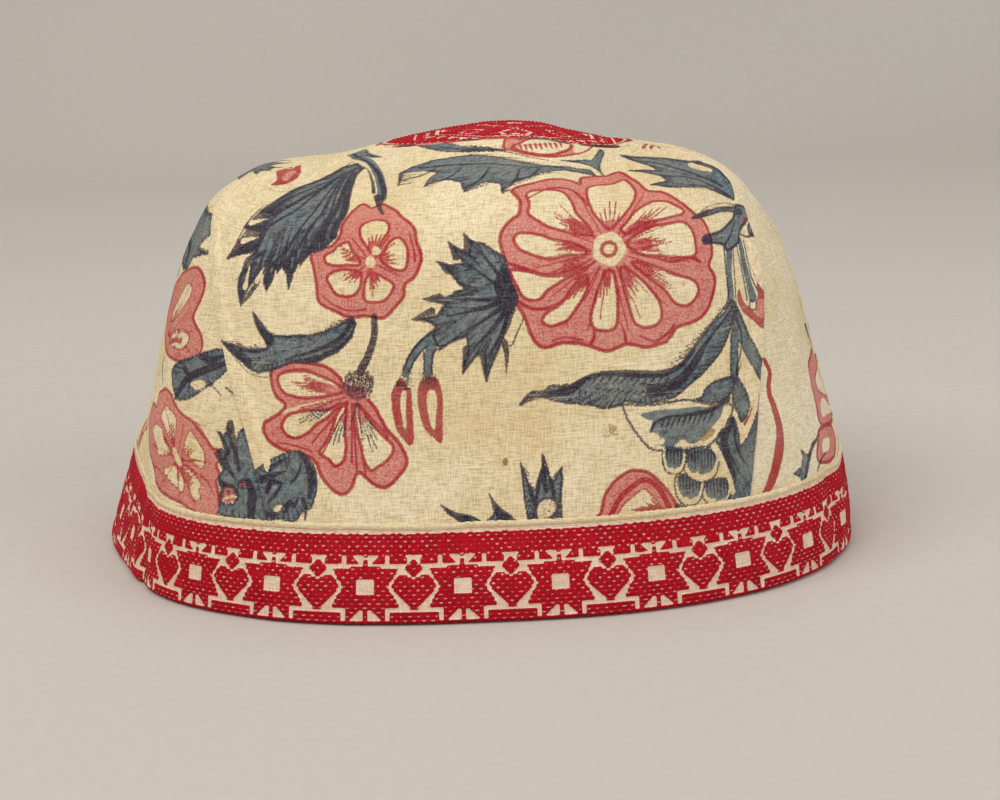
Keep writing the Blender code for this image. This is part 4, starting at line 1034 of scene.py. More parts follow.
def lie(angle, s):
    """How far every layer stands proud of the form, in mm: soft swells, slack at the sides, and the set of the band."""
    p = form(angle, s)
    z = p[..., 2]
    d = 0.50 * noise(p, 44, 1) + 0.30 * noise(p * (1, 1, 0.7), 21, 2) + 0.2
    d = d * (0.35 + 0.65 * ease(z, 16, 40)) * (1 - 0.55 * ease(z, 98, 106))
    side = np.abs(np.cos(angle)) ** 3
    across = np.stack([angle * 95, z * 0.35, 0 * z], -1)
    d += 0.55 * side * noise(across, 13, 3) * ease(z, 20, 36) * (1 - ease(z, 84, 98))
    d += 1.3 * bump(turn_to(angle, 205), 0, 15) * bump(z, 88, 13)  # full at the left shoulder
    d += 0.3 * bump(turn_to(angle, 350), 0, 22) * bump(z, 60, 26)
    d += 1.1 * bump(turn_to(angle, 207), 0, 4.0) * bump(z, 90, 7) + 0.9 * bump(turn_to(angle, 213) - (z - 70) * 0.30, 0, 3.2) * bump(z, 72, 20)
    # the brim's swing, level with its foot at the floor and with its top at the hem, dying away above
    turned = np.degrees(angle) % 360.0
    foot, top = np.interp(turned, SWING[:, 0], SWING[:, 1]), np.interp(turned, SWING[:, 0], SWING[:, 2])
    d += (foot + (top - foot) * np.clip(z / 20.3, 0, 1)) * (1 - ease(z, 21, 40))
    d -= (1.1 * bump(turn_to(angle, 190), 0, 26) + 0.8 * bump(turn_to(angle, 350), 0, 24)) * ease(z, 25, 36) * (1 - ease(z, 84, 94))
    # the front edge of the crown stands up in a ridge, and the crown falls away to the sides
    radius = along(HALF_WIDTHS, s, True)
    d += 2.3 * bump(turn_to(angle, 268), 0, 62) * bump(radius, 35.5, 5.5) * (z > 80)
    d -= np.interp(p[..., 0], FALL[:, 0], FALL[:, 1]) * ease(z, 88, 97)
    # a sharp crease where the band turns at the left, a soft one at the right, and slack folds above them
    d += -1.1 * bump(turn_to(angle, 210.5), 0, 2.0) * bump(z, 10, 14) + 0.5 * bump(turn_to(angle, 206), 0, 3) * bump(z, 8, 12)
    d += -0.8 * bump(turn_to(angle, 330), 0, 2.4) * bump(z, 14, 12) + 0.6 * bump(turn_to(angle, 336), 0, 4) * bump(z, 12, 12)
    d += 0.7 * bump(turn_to(angle, 331) + (z - 50) * 0.12, 0, 2.6) * bump(z, 52, 22)
    d += 0.6 * bump(turn_to(angle, 228) - (z - 45) * 0.10, 0, 2.4) * bump(z, 44, 16)
    return d


def arc_step(angle, s):
    """mm along the form per radian, level."""
    e = 1e-4
    return np.linalg.norm(form(angle + e, s) - form(angle, s), axis=-1) / e


def level_out(angle, s):
    """Outward direction, level near the brim so that edges there stay flat."""
    n = outward(angle, s)
    low = 1 - ease(form(angle, s)[..., 2], 0.4, 4.0)
    n[..., 2] = n[..., 2] * (1 - low)
    return n / np.linalg.norm(n, axis=-1, keepdims=True)


def laid(angle, s, depth=0.0, extra=0.0):
    """Points of a layer at a depth under the form, with the lie of the cloth and anything extra added."""
    angle, s = np.broadcast_arrays(angle, s)
    return form(angle, s) + level_out(angle, s) * (lie(angle, s) - depth + extra)[..., None]


# ------------------------------------------------------------------ meshes
K = 8  # the hidden side of a cloth is this much coarser than the side that shows


def make_mesh(name, points, quads, tris, values=None, vector=None):
    mesh = bpy.data.meshes.new(name)
    quads, tris = np.asarray(quads, np.int32).reshape(-1, 4), np.asarray(tris, np.int32).reshape(-1, 3)
    mesh.vertices.add(len(points))
    mesh.vertices.foreach_set("co", (np.asarray(points) / 1000).astype(np.float32).ravel())
    loops = np.concatenate([quads.ravel(), tris.ravel()])
    mesh.loops.add(len(loops))
    mesh.loops.foreach_set("vertex_index", loops)
    starts = np.concatenate([np.arange(len(quads)) * 4, len(quads) * 4 + np.arange(len(tris)) * 3]).astype(np.int32)
    mesh.polygons.add(len(starts))
    mesh.polygons.foreach_set("loop_start", starts)
    mesh.update(calc_edges=True)
    for key, value in (values or {}).items():
        mesh.attributes.new(key, "FLOAT", "POINT").data.foreach_set("value", np.asarray(value, np.float32))
    if vector is not None:
        mesh.attributes.new("cloth", "FLOAT_VECTOR", "POINT").data.foreach_set("vector", np.asarray(vector, np.float32).ravel())
    mesh.validate()
    mesh.shade_smooth()
    obj = bpy.data.objects.new(name, mesh)
    bpy.context.scene.collection.objects.link(obj)
    return obj


def shell(name, outer, inner, values=None, vector=None, around=False):
    """A closed cloth: a fine outer grid of points [row, column], and a coarser hidden one with every Kth row and column.

    around joins the last column to the first, and then neither grid repeats it.
    """
    rows, cols = outer.shape[:2]
    r2, c2 = inner.shape[:2]
    o = np.arange(rows * cols).reshape(rows, cols)
    n = np.arange(r2 * c2).reshape(r2, c2) + rows * cols
    if around:
        o, n = np.concatenate([o, o[:, :1]], 1), np.concatenate([n, n[:, :1]], 1)
    quads = np.stack([o[:-1, :-1], o[:-1, 1:], o[1:, 1:], o[1:, :-1]], -1).reshape(-1, 4)
    back = np.stack([n[:-1, :-1], n[1:, :-1], n[1:, 1:], n[:-1, 1:]], -1).reshape(-1, 4)
    sides = [(o[0], n[0]), (o[-1, ::-1], n[-1, ::-1])]
    if not around:
        sides += [(o[:, -1], n[:, -1]), (o[::-1, 0], n[::-1, 0])]
    tris = []
    for fine, coarse in sides:
        for i in range(len(coarse) - 1):
            a, h = i * K, i * K + K // 2
            tris += [(fine[k + 1], fine[k], coarse[i]) for k in range(a, h)]
            tris.append((fine[h], coarse[i], coarse[i + 1]))
            tris += [(fine[k + 1], fine[k], coarse[i + 1]) for k in range(h, a + K)]
    points = np.concatenate([outer.reshape(-1, 3), inner.reshape(-1, 3)])
    spread = {}
    for key, (value, hidden) in (values or {}).items():
        spread[key] = np.concatenate([np.ravel(value), np.ravel(hidden) if np.ndim(hidden) else np.full(r2 * c2, hidden)])
    if vector is not None:
        vector = np.concatenate([vector.reshape(-1, 3), (vector[::K, ::K] + (0, 0, 40)).reshape(-1, 3)[: r2 * c2]])
    return make_mesh(name, points, np.concatenate([quads, back]), tris, spread, vector)


def counted(length, step):
    """A number of steps of about this size that K divides."""
    return max(int(round(length / step / K)), 1) * K


DETAIL = 1.0
HEM_AT, FOLD_AT = 22.7, 33.6
S_HEM = station_at(HEM_AT)
S_FOLD = float(np.interp(-FOLD_AT, -along(HALF_WIDTHS, np.linspace(0, 1, 4001), True), np.linspace(0, 1, 4001)))
FLAT = {}


def profile_levels(low, high, steps, middle=4.7):
    """Stations between two, evenly spaced by length along the form."""
    s = np.linspace(low, high, 1500)
    run = np.concatenate([[0], np.cumsum(np.linalg.norm(np.diff(form(np.full(1500, middle), s), axis=0), axis=1))])
    return np.interp(np.linspace(0, run[-1], steps + 1), run, s), run[-1]


def edged(e, out=0.45):
    """How a turned edge rolls in: mm to take off, e mm from the edge."""
    f = np.clip(e / out, 0, 1)
    return 0.5 * (1 - np.sqrt(np.clip(1 - (1 - f) ** 2, 0, 1)))


def printed_panel(name, first, last, middle, low, high, draw, step, lap=(0.0, 0.0), seed=0):
    """A cut piece of printed cotton between two seams. lap lifts or sinks its left and right edges over its neighbours."""
    s, height = profile_levels(S_HEM, S_FOLD, counted(110, step))
    a0, a1 = seam(first, s), seam(last, s)
    if a1[0] < a0[0]:
        a1 = a1 + 2 * pi
    cols = counted(np.max((a1 - a0)) * 80, step)
    t = np.linspace(0, 1, cols + 1)
    t = t - 0.002 * np.sin(2 * pi * t)  # columns crowd together a little at the two edges
    A = a0[:, None] * (1 - t) + a1[:, None] * t
    S = np.repeat(s[:, None], cols + 1, 1)
    speed = arc_step(A, S)
    gap = 0.10
    A = A + np.where(t < 0.5, 1, -1) * (gap / speed) * np.abs(1 - 2 * t) ** 40
    left = (A - a0[:, None]) * speed
    right = (a1[:, None] - A) * speed
    bottom = np.cumsum(np.concatenate([[0], np.full(len(s) - 1, height / (len(s) - 1))]))[:, None] + 0 * A
    extra = -edged(left) - edged(right)
    for e, lift in ((left, lap[0]), (right, lap[1])):
        extra += lift * (1 - ease(e, 3.0, 5.5)) if lift > 0 else lift * (1 - ease(e, 0.0, 3.0))
        extra += -0.10 * bump(e, 5.2, 0.8) if lift > 0 else 0
        along_seam = np.stack([bottom * 1.0, e * 0.12, 0 * e + seed], -1)
        extra += 0.17 * noise(along_seam, 2.6, 5 + seed) * np.exp(-e / 3.2) + 0.16 * noise(along_seam, 7.0, 9 + seed) * np.exp(-e / 7)
    # gathers above the hem
    gather = np.stack([A * 92, bottom * 0.16, 0 * A + seed], -1)
    extra += 0.15 * noise(gather, 3.4, 6) * np.exp(-bottom / 4.0) + 0.22 * noise(gather, 9.0, 7) * np.exp(-bottom / 11.0)
    extra += 0.18 * (1 - ease(bottom, 0.0, 2.0)) * -1
    # the crispness of old cotton: fine dents and creases
    p = form(A, S)
    extra += 0.10 * noise(p, 6.5, 21 + seed) + 0.05 * noise(p, 2.8, 22 + seed)
    crease = 1 - np.abs(noise(p * (1, 1, 1.3), 15, 31 + seed))
    extra += 0.10 * np.clip(crease - 0.9, 0, 1) * 10 * 0.5
    outer = laid(A, S, 0.0, extra)
    keep = extra[::K, ::K]
    inner = laid(A[::K, ::K], S[::K, ::K], 0.62, np.minimum(keep, 0.0) * 0.4)
    cloth = Cloth(middle, low, high)
    uv = cloth(A.ravel(), S.ravel())
    sheet = Print(uv, cloth)
    draw(sheet)
    values = {ink: (sheet.f[ink], np.clip(sheet.f[ink].reshape(A.shape)[::K, ::K].ravel() + 0.55, 0.25, 4)) for ink in Print.inks}
    vector = np.concatenate([uv.reshape(A.shape + (2,)), np.full(A.shape + (1,), seed * 13.7)], -1)
    obj = shell(name, outer, inner, values, vector)
    area = float(np.sum(speed[:-1, :-1] * np.diff(A, axis=1)[:-1] * height / (len(s) - 1)))
    FLAT[name] = (float((speed[:, :-1] * np.diff(A, axis=1)).sum(1).max()), float(height), area)
    return obj


# ------------------------------------------------------------------ counted-thread pattern
def is_red(c, r):
    """The band's pattern, in stitches: c along it from a star's middle, r down from its top. Repeats every 22."""
    a = np.abs((c + 11) % 22 - 11)
    h = 11 - a
    slant = 3.4 - (r - 4.3) * 2.4 / 2.6
    red = r < 4.3
    red |= (r < 6.6) & (h > np.where(r < 4.9, 1.9, 1.3)) & (a > 5.6)
    red |= (r < 6.7) & (a < 4.7) & (a > slant)
    red |= (a < 0.7) & (r < 7.4) & ~((r > 5.0) & (r < 5.5))
    red |= (r > 6.9) & (r < 7.4) & (a < 3.75)
    side = np.where(r < 11.7, 7.75 - (r - 7.4) * 2.65 / 4.3, 5.1 + (r - 11.7) * 2.65 / 4.6)
    red |= (r > 7.3) & (r < 16.4) & (a < side) & ~((a < 2.05) & (r > 9.9) & (r < 13.5))
    heart = np.where(r < 11.5, 4.85 - (11.5 - r) ** 2 * 0.22, np.interp(r, (11.5, 12.3, 17.1), (4.85, 4.65, 0.5)))
    notch = np.clip(10.4 - r, 0, None) * 1.15
    red |= (r > 9.2) & (r < 16.9) & (h < heart) & (h > notch)
    red |= h / 2.2 + np.abs(r - 7.4) / 2.3 < 1
    red |= (r > 16.2) & (r < 19.6) & (a < 4.4) & (a > 0.75 + (r - 16.3) * 2.9 / 3.2)
    red |= (a < 0.7) & (r > 17.2)
    red |= (a < 4.4) & (r > 16.2) & (r < 16.9)
    red |= (a > 5.7) & (r > 17.5)
    red |= r > 19.6
    red &= ~((a > 3.75) & (a < 7.3) & (r > 6.7) & (r < 7.25))
    return red


def is_red_patch(x, y):
    """The crown patch's pattern, in stitches from its middle."""
    a, b = np.maximum(np.abs(x), np.abs(y)), np.minimum(np.abs(x), np.abs(y))
    r = np.hypot(x, y)
    red = np.ones(x.shape, bool)
    red &= ~((a < 2.1))  # square eye
    outline = (a + b * 0.72 > 9.2) & (a + b * 0.72 < 10.3)
    red &= ~outline
    red &= ~((np.abs(a - b) < 0.6) & (a > 3.4) & (a < 5.4))
    red &= ~((np.abs(a - 5.0) < 0.5) & (b < 1.6) & (b > 0.7))
    # hearts out along the axes, lozenges on the diagonals
    q = a - 14.5
    heart = (np.abs(q) < 3.6) & (b < np.where(q > 1.2, 3.4 - (q - 1.2) * 0.5, 3.4 + (q - 1.2) * 0.85)) & (b > (q - 2.4) * 1.2)
    edge = (np.abs(q) < 4.6) & (b < np.where(q > 1.2, 4.5 - (q - 1.2) * 0.4, 4.5 + (q - 1.2) * 0.85)) & (a > 10.2)
    red &= heart | ~edge
    d = np.abs(a - 11.0) + np.abs(b - 11.0)
    red &= ~((d > 2.6) & (d < 3.6))
    red &= ~(d < 0.8)
    octagon = np.maximum(a, (a + b) * 0.72)
    red &= ~((octagon > 19.6) & (octagon < 20.4))
    red &= ~((octagon > 21.8) & (octagon < 24.6) & ((np.abs((np.arctan2(y, x) * 22) % 4.0 - 2.0) * 1.4) > octagon - 21.6))
    red &= ~((octagon > 25.6) & (octagon < 26.2))
    return red


def worked(pattern, c, r, sub=0.5):
    """How much red covers each point, 0 to 1, where the pattern steps in half stitches."""
    total = 0.0
    offs = (-0.16, -0.05, 0.06, 0.17)
    for dc in offs:
        for dr in offs:
            total = total + pattern((np.floor((c + dc) / sub) + 0.5) * sub, (np.floor((r + dr) / sub) + 0.5) * sub)
    return total / 16


def stitched(c, r, cover, seed=0):
    """Height of the stitching in mm, and how much ground shows in the ties between its stitches; below zero, painted
    shade in the grooves between its rows.
    """
    row = np.floor(r)
    shifted = c + (row % 2)
    dc = (shifted + 1) % 2 - 1
    dr = r - row - 0.5
    each = (np.sin(np.round((shifted - dc) * 0.5) * 12.9898 + row * 78.233 + seed) * 437.585) % 1.0  # every stitch has its own pull
    wobble = 0.14 * noise(np.stack([c, r, 0 * c], -1), 1.3, 3 + seed)
    ties_and_groove_shade = np.clip(1.25 - ((dc + wobble) / (0.38 + 0.16 * each)) ** 2 - ((dr + wobble * 0.6) / (0.15 + 0.05 * each)) ** 2, 0, 1) * (0.55 + 0.45 * each)
    swell = (0.48 + 0.52 * (1 - (2 * np.abs(dr)) ** 2.6)) * (0.74 + 0.26 * np.cos(pi * dc * 2))
    threads = 0.05 * np.cos(c * 2 * pi * 3)
    uneven = 1 + 0.22 * noise(np.stack([c * 0.7, r * 0.7, 0 * c], -1), 1.0, 8 + seed) + 0.16 * (each - 0.5)
    height = cover * (0.46 * swell * uneven + threads) * (1 - 0.7 * ties_and_groove_shade)
    ground = 0.035 * np.cos(c * 2 * pi * 3.1) * np.cos(r * 2 * pi * 3.1) * (1 - cover)
    # painted shade: the colour darkens in the grooves between the rows of stitches, where shade falls, sent on as
    # values below zero
    painted_groove_shade = np.clip((np.abs(dr) - 0.34) / 0.16, 0, 1) * (0.6 + 0.4 * each)  # dark between the rows
    return height + ground, (ties_and_groove_shade - 0.7 * painted_groove_shade * (1 - ties_and_groove_shade)) * cover


# ------------------------------------------------------------------ materials
class Nodes:
    """A material's nodes, written as expressions."""

    def __init__(self, name):
        self.material = bpy.data.materials.new(name)
        self.material.use_nodes = True
        self.tree = self.material.node_tree
        self.tree.nodes.clear()
        self.shader = self.tree.nodes.new("ShaderNodeBsdfPrincipled")
        out = self.tree.nodes.new("ShaderNodeOutputMaterial")
        self.tree.links.new(self.shader.outputs[0], out.inputs["Surface"])

    def put(self, socket, value):
        if isinstance(value, bpy.types.NodeSocket):
            self.tree.links.new(value, socket)
        elif isinstance(value, tuple) and socket.type == "RGBA":
            socket.default_value = (*value, 1.0) if len(value) == 3 else value
        else:
            socket.default_value = value

    def attribute(self, name, vector=False):
        node = self.tree.nodes.new("ShaderNodeAttribute")
        node.attribute_name = name
        return node.outputs["Vector" if vector else "Fac"]

    def place(self):
        return self.tree.nodes.new("ShaderNodeTexCoord").outputs["Object"]

    def math(self, kind, a, b=0.0, c=0.0, clamp=False):
        node = self.tree.nodes.new("ShaderNodeMath")
        node.operation, node.use_clamp = kind, clamp
        for socket, value in zip(node.inputs, (a, b, c)):
            self.put(socket, value)
        return node.outputs[0]

    def times(self, vector, by, add=(0, 0, 0)):
        node = self.tree.nodes.new("ShaderNodeVectorMath")
        node.operation = "MULTIPLY_ADD"
        self.put(node.inputs[0], vector)
        node.inputs[1].default_value, node.inputs[2].default_value = by, add
        return node.outputs[0]

    def noise(self, vector, scale=1.0, detail=2.0, rough=0.5, stretch=None, add=(0, 0, 0)):
        if stretch or any(add):
            vector = self.times(vector, stretch or (1, 1, 1), add)
        node = self.tree.nodes.new("ShaderNodeTexNoise")
        self.put(node.inputs["Vector"], vector)
        node.inputs["Scale"].default_value = scale
        node.inputs["Detail"].default_value = detail
        node.inputs["Roughness"].default_value = rough
        return node.outputs[0]

    def wave(self, vector, period, direction="X", distortion=0.0, detail_scale=1.0):
        node = self.tree.nodes.new("ShaderNodeTexWave")
        node.wave_type, node.bands_direction = "BANDS", direction
        self.put(node.inputs["Vector"], vector)
        node.inputs["Scale"].default_value = 0.314159 / period
        node.inputs["Distortion"].default_value = distortion
        node.inputs["Detail"].default_value = 1.0
        node.inputs["Detail Scale"].default_value = detail_scale
        return node.outputs["Fac"]

    def between(self, value, low, high, to_low=0.0, to_high=1.0, smooth=False):
        node = self.tree.nodes.new("ShaderNodeMapRange")
        node.clamp = True
        if smooth:
            node.interpolation_type = "SMOOTHSTEP"
        for socket, v in zip(node.inputs, (value, low, high, to_low, to_high)):
            self.put(socket, v)
        return node.outputs[0]

    def mix(self, fac, a, b, kind="MIX"):
        node = self.tree.nodes.new("ShaderNodeMix")
        node.data_type, node.blend_type = "RGBA", kind
        self.put(node.inputs[0], fac)
        self.put(node.inputs[6], a)
        self.put(node.inputs[7], b)
        return node.outputs[2]

    def bump(self, height, distance, strength=1.0, normal=None):
        node = self.tree.nodes.new("ShaderNodeBump")
        node.inputs["Strength"].default_value = strength
        node.inputs["Distance"].default_value = distance
        self.put(node.inputs["Height"], height)
        if normal is not None:
            self.put(node.inputs["Normal"], normal)
        return node.outputs[0]

    def finish(self, colour, rough, normal=None, sheen=0.0, specular=0.35):
        self.put(self.shader.inputs["Base Color"], colour)
        self.put(self.shader.inputs["Roughness"], rough)
        self.shader.inputs["Specular IOR Level"].default_value = specular
        self.shader.inputs["Sheen Weight"].default_value = sheen
        self.shader.inputs["Sheen Roughness"].default_value = 0.5
        if normal is not None:
            self.put(self.shader.inputs["Normal"], normal)
        return self.material


def srgb(r, g, b):
    """Linear colour of an 8-bit one."""
    return tuple(float(((v / 255 + 0.055) / 1.055) ** 2.4 if v > 10 else v / 3294) for v in (r, g, b))


def weave_of(n, at, period=0.40, slubs=1.0):
    """Plain weave: uneven threads both ways, with thick slubs across. Returns its height, 0 to 1, and the slubs."""
    weft = n.noise(at, 1.0, 2.0, 0.6, (0.10 / period, 1.15 / period, 1), (3.1, 0, 0))
    warp = n.noise(at, 1.0, 2.0, 0.6, (1.15 / period, 0.10 / period, 1), (0, 7.7, 5))
    both = n.math("ADD", n.math("MULTIPLY", weft, 0.55), n.math("MULTIPLY", warp, 0.45))
    slub = n.between(n.noise(at, 1.0, 2.0, 0.5, (0.075, 1.9, 1), (0, 2.2, 9)), 0.61, 0.74, 0.0, slubs)
    return both, slub


def printed_cotton(name, tone=None):
    n = Nodes(name)
    at = n.attribute("cloth", True)
    weave, slub = weave_of(n, at, 0.26)
    fine = n.noise(at, 2.6, 3.0, 0.6)
    broad = n.noise(at, 0.035, 3.0, 0.55)
    cream = n.mix(n.between(broad, 0.35, 0.68), srgb(249, 233, 196), srgb(236, 215, 168))
    cream = n.mix(n.between(weave, 0.39, 0.56, 0.66, 0.0), cream, srgb(178, 148, 102))
    cream = n.mix(n.math("MULTIPLY", slub, 0.55), cream, srgb(255, 247, 222))
    stain = n.between(n.noise(at, 0.055, 4.0, 0.7, None, (40, 12, 3)), 0.66, 0.80, 0.0, 0.35)
    cream = n.mix(stain, cream, srgb(196, 160, 104))
    spot = n.between(n.noise(at, 0.30, 2.0, 0.5, None, (9, 31, 3)), 0.755, 0.80, 0.0, 0.5)
    cream = n.mix(spot, cream, srgb(150, 112, 66))
    # tone multiplies the cream; the right gore's copy uses it as painted light, making that panel lighter and cooler
    if tone:
        cream = n.mix(1.0, cream, tone, "MULTIPLY")
    colour = cream
    # how well the dye took, thread by thread
    took = n.math("ADD", n.math("MULTIPLY", fine, 0.5), n.math("MULTIPLY", weave, 0.5))
    worn = n.noise(at, 0.09, 3.0, 0.6, None, (5, 5, 5))
    streak = n.noise(at, 0.62, 4.0, 0.62, None, (17, 3, 8))

    def ink(key, tint, pale, soft, wander, low, cover):
        d = n.attribute(key)
        d = n.math("ADD", d, n.math("MULTIPLY", n.math("SUBTRACT", fine, 0.5), wander))
        mask = n.between(d, -soft, soft, 1.0, 0.0, True)
        taken = n.between(took, low[0], low[1], cover[0], cover[1])
        fade = n.between(worn, 0.30, 0.72, 1.0, 0.86)
        shade = n.mix(n.between(took, 0.40, 0.58), pale, tint)
        if key == "blue":
            shade = n.mix(n.between(streak, 0.51, 0.61, 0.0, 0.80), shade, srgb(44, 51, 66))
            shade = n.mix(n.between(streak, 0.30, 0.40, 0.55, 0.0), shade, srgb(140, 156, 156))
        bare = n.between(slub, 0.2, 1.0, 1.0, 0.78)  # the thick threads hold less of it
        return n.math("MULTIPLY", n.math("MULTIPLY", n.math("MULTIPLY", mask, taken), fade), bare), shade

    for key, tint, pale, soft, wander, low, cover in (
        ("pink", srgb(190, 78, 84), srgb(220, 134, 126), 0.10, 0.8, (0.38, 0.54), (0.50, 1.0)),
        ("blue", srgb(70, 93, 108), srgb(100, 120, 126), 0.10, 0.8, (0.36, 0.54), (0.76, 1.0)),
        ("red", srgb(160, 26, 42), srgb(174, 50, 60), 0.09, 1.0, (0.36, 0.54), (0.76, 1.0)),
        ("dark", srgb(30, 32, 46), srgb(74, 56, 70), 0.09, 1.1, (0.36, 0.54), (0.68, 1.0)),
        ("brown", srgb(126, 88, 42), srgb(176, 132, 70), 0.10, 0.9, (0.38, 0.56), (0.70, 1.0)),
    ):
        mask, shade = ink(key, tint, pale, soft, wander, low, cover)
        colour = n.mix(mask, colour, shade)
    normal = n.bump(weave, 0.00016, 0.7)
    normal = n.bump(slub, 0.00010, 0.5, normal)
    return n.finish(colour, n.between(fine, 0.3, 0.7, 0.86, 0.97), normal, 0.02, 0.12)


def plain_cloth(name, light, dark, period=0.32, slubs=0.6, rough=0.9, depth=0.00013, blotch=0.05, sheen=0.1):
    n = Nodes(name)
    at = n.attribute("cloth", True)
    weave, slub = weave_of(n, at, period, slubs)
    colour = n.mix(n.between(n.noise(at, blotch, 3.0, 0.6), 0.35, 0.68), light, dark)
    colour = n.mix(n.between(weave, 0.36, 0.64, 0.5, 0.0), colour, tuple(v * 0.62 for v in dark))
    colour = n.mix(n.math("MULTIPLY", slub, 0.5), colour, tuple(min(v * 1.12, 1) for v in light))
    return n.finish(colour, rough, n.bump(weave, depth, 0.6), sheen, 0.25)


def wadding_cloth(name):
    n = Nodes(name)
    at = n.attribute("cloth", True)
    tuft = n.noise(at, 0.9, 5.0, 0.65)
    colour = n.mix(n.between(tuft, 0.3, 0.7), srgb(205, 198, 182), srgb(232, 228, 216))
    colour = n.mix(n.between(n.noise(at, 1.4, 2.0, 0.5, (1, 1, 1), (9, 9, 0)), 0.70, 0.76, 0.0, 0.6), colour, srgb(120, 98, 70))
    return n.finish(colour, 0.95, n.bump(tuft, 0.0004, 0.8), 0.2, 0.2)


def embroidered(name):
    """Red stitching over linen: the mesh carries how much red covers each point, where the ties are, and painted shade
    in the grooves between the rows.
    """
    n = Nodes(name)
    at = n.attribute("cloth", True)
    cover, ties_and_groove_shade = n.attribute("cover"), n.attribute("ties_and_groove_shade")
    hair = n.noise(at, 1.0, 2.0, 0.6, (4.2, 0.55, 1))
    grain = n.noise(at, 3.2, 2.0, 0.6)
    broad = n.noise(at, 0.12, 3.0, 0.6)
    red = n.mix(n.between(hair, 0.32, 0.68), srgb(136, 2, 18), srgb(204, 12, 36))
    red = n.mix(n.between(broad, 0.40, 0.70, 0.0, 0.30), red, srgb(210, 26, 48))
    # painted shade: the red darkens to near-black in the grooves between the rows of stitches
    red = n.mix(n.between(ties_and_groove_shade, -0.62, -0.08, 0.62, 0.0), red, srgb(84, 0, 8))
    red = n.mix(n.between(grain, 0.62, 0.74, 0.0, 0.28), red, srgb(222, 84, 96))
    weave, slub = weave_of(n, at, 0.30, 0.5)
    linen = n.mix(n.between(broad, 0.35, 0.65), srgb(252, 229, 208), srgb(238, 209, 184))
    linen = n.mix(n.between(weave, 0.38, 0.60, 0.6, 0.0), linen, srgb(184, 146, 118))
    linen = n.mix(n.between(grain, 0.58, 0.78, 0.0, 0.20), linen, srgb(218, 136, 124))
    edge = n.math("ADD", cover, n.math("MULTIPLY", n.math("SUBTRACT", grain, 0.5), 0.5))
    mask = n.between(edge, 0.40, 0.58, 0.0, 1.0, True)
    gap = n.between(n.math("ADD", ties_and_groove_shade, n.math("MULTIPLY", n.math("SUBTRACT", grain, 0.5), 0.9)), 0.32, 0.66, 0.0, 0.80)
    red = n.mix(gap, red, srgb(246, 194, 184))
    colour = n.mix(mask, linen, red)
    height = n.mix(mask, weave, hair)
    return n.finish(colour, n.between(hair, 0.3, 0.7, 0.52, 0.74), n.bump(height, 0.00012, 0.7), 0.0, 0.12)


def thread_cloth(name, light, dark):
    n = Nodes(name)
    at = n.place()
    ply = n.noise(at, 2600.0, 2.0, 0.5)
    colour = n.mix(n.between(ply, 0.35, 0.65), dark, light)
    return n.finish(colour, 0.7, n.bump(ply, 0.00005, 0.6), 0.15, 0.3)


COTTON = printed_cotton("printed_cotton")
# painted light: a lighter, cooler copy of the printed cotton for the right gore, standing in for light that falls on
# that side
COTTON_PAINTED_LIGHTER = printed_cotton("printed_cotton_painted_lighter", (1.02, 1.06, 1.17))
STITCH = embroidered("embroidery_on_linen")
LINEN = plain_cloth("band_linen", srgb(232, 214, 190), srgb(216, 194, 166))
LINING = plain_cloth("lining_cotton", srgb(206, 190, 158), srgb(190, 170, 134), 0.42, 0.9, blotch=0.03)
FACING = plain_cloth("facing_cotton", srgb(214, 194, 160), srgb(192, 168, 128), 0.36, 0.6)
WADDING = wadding_cloth("cotton_wadding")
THREAD = thread_cloth("sewing_thread", srgb(244, 232, 202), srgb(206, 188, 148))


def dress(obj, material, replaced):
    obj.data.materials.append(material)
    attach(obj, "root")
    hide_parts(*replaced)
    return obj


# ------------------------------------------------------------------ the printed panels
PANELS = (
    ("printed_front_panel", "front_panel", "front_left", "front_right", 270, 150, 400, draw_front, 0.42, (0.55, 0.35), 1),
    ("printed_left_side", "left_side_panel", "back_left", "front_left", 180, 60, 300, draw_left, 0.60, (0.10, -0.22), 2),
    ("printed_right_gore", "right_front_gore", "front_right", "right", 330, 270, 400, draw_gore, 0.55, (-0.20, -0.15), 3),
    ("printed_right_side", "right_side_panel", "right", "back_right", 380, 300, 460, draw_right, 0.65, (0.20, -0.15), 4),
    ("printed_back_panel", "back_panel", "back_right", "closing", 450, 330, 570, draw_back, 0.62, (0.22, -0.10), 5),
)
for name, node, first, last, middle, low, high, draw, step, lap, seed in PANELS:
    panel = printed_panel(name, first, last, middle, low, high, draw, step * DETAIL, lap, seed)
    # the right gore gets the copy with painted light
    dress(panel, COTTON_PAINTED_LIGHTER if name == "printed_right_gore" else COTTON, [node])


# ------------------------------------------------------------------ the embroidered band
TOP_Z, BARE_Z, FOOT_Z = 20.75, 22.3, 0.9  # top of the red, top of the bare linen above it, and where the face turns under
A_ALL = np.linspace(0, 2 * pi, 4001)
RUN_ALL = np.concatenate([[0], np.cumsum(np.linalg.norm(np.diff(form(A_ALL, 0.12), axis=0), axis=1))])
AROUND = float(RUN_ALL[-1])
REPEATS = round(AROUND / 22.6)
CELL = AROUND / (REPEATS * 22)
a_front = np.radians(np.linspace(240, 300, 600))
STAR_AT = float(np.interp(463.0, elevation(form(a_front, station_at(9.0)))[:, 0], a_front))  # one star is just left of the middle
STAR_RUN = float(np.interp(STAR_AT, A_ALL, RUN_ALL))


def run_of(angle):
    turns = np.floor(angle / (2 * pi))
    return np.interp(angle - 2 * pi * turns, A_ALL, RUN_ALL) + AROUND * turns


def angle_of(run):
    turns = np.floor(run / AROUND)
    return np.interp(run - AROUND * turns, RUN_ALL, A_ALL) + 2 * pi * turns


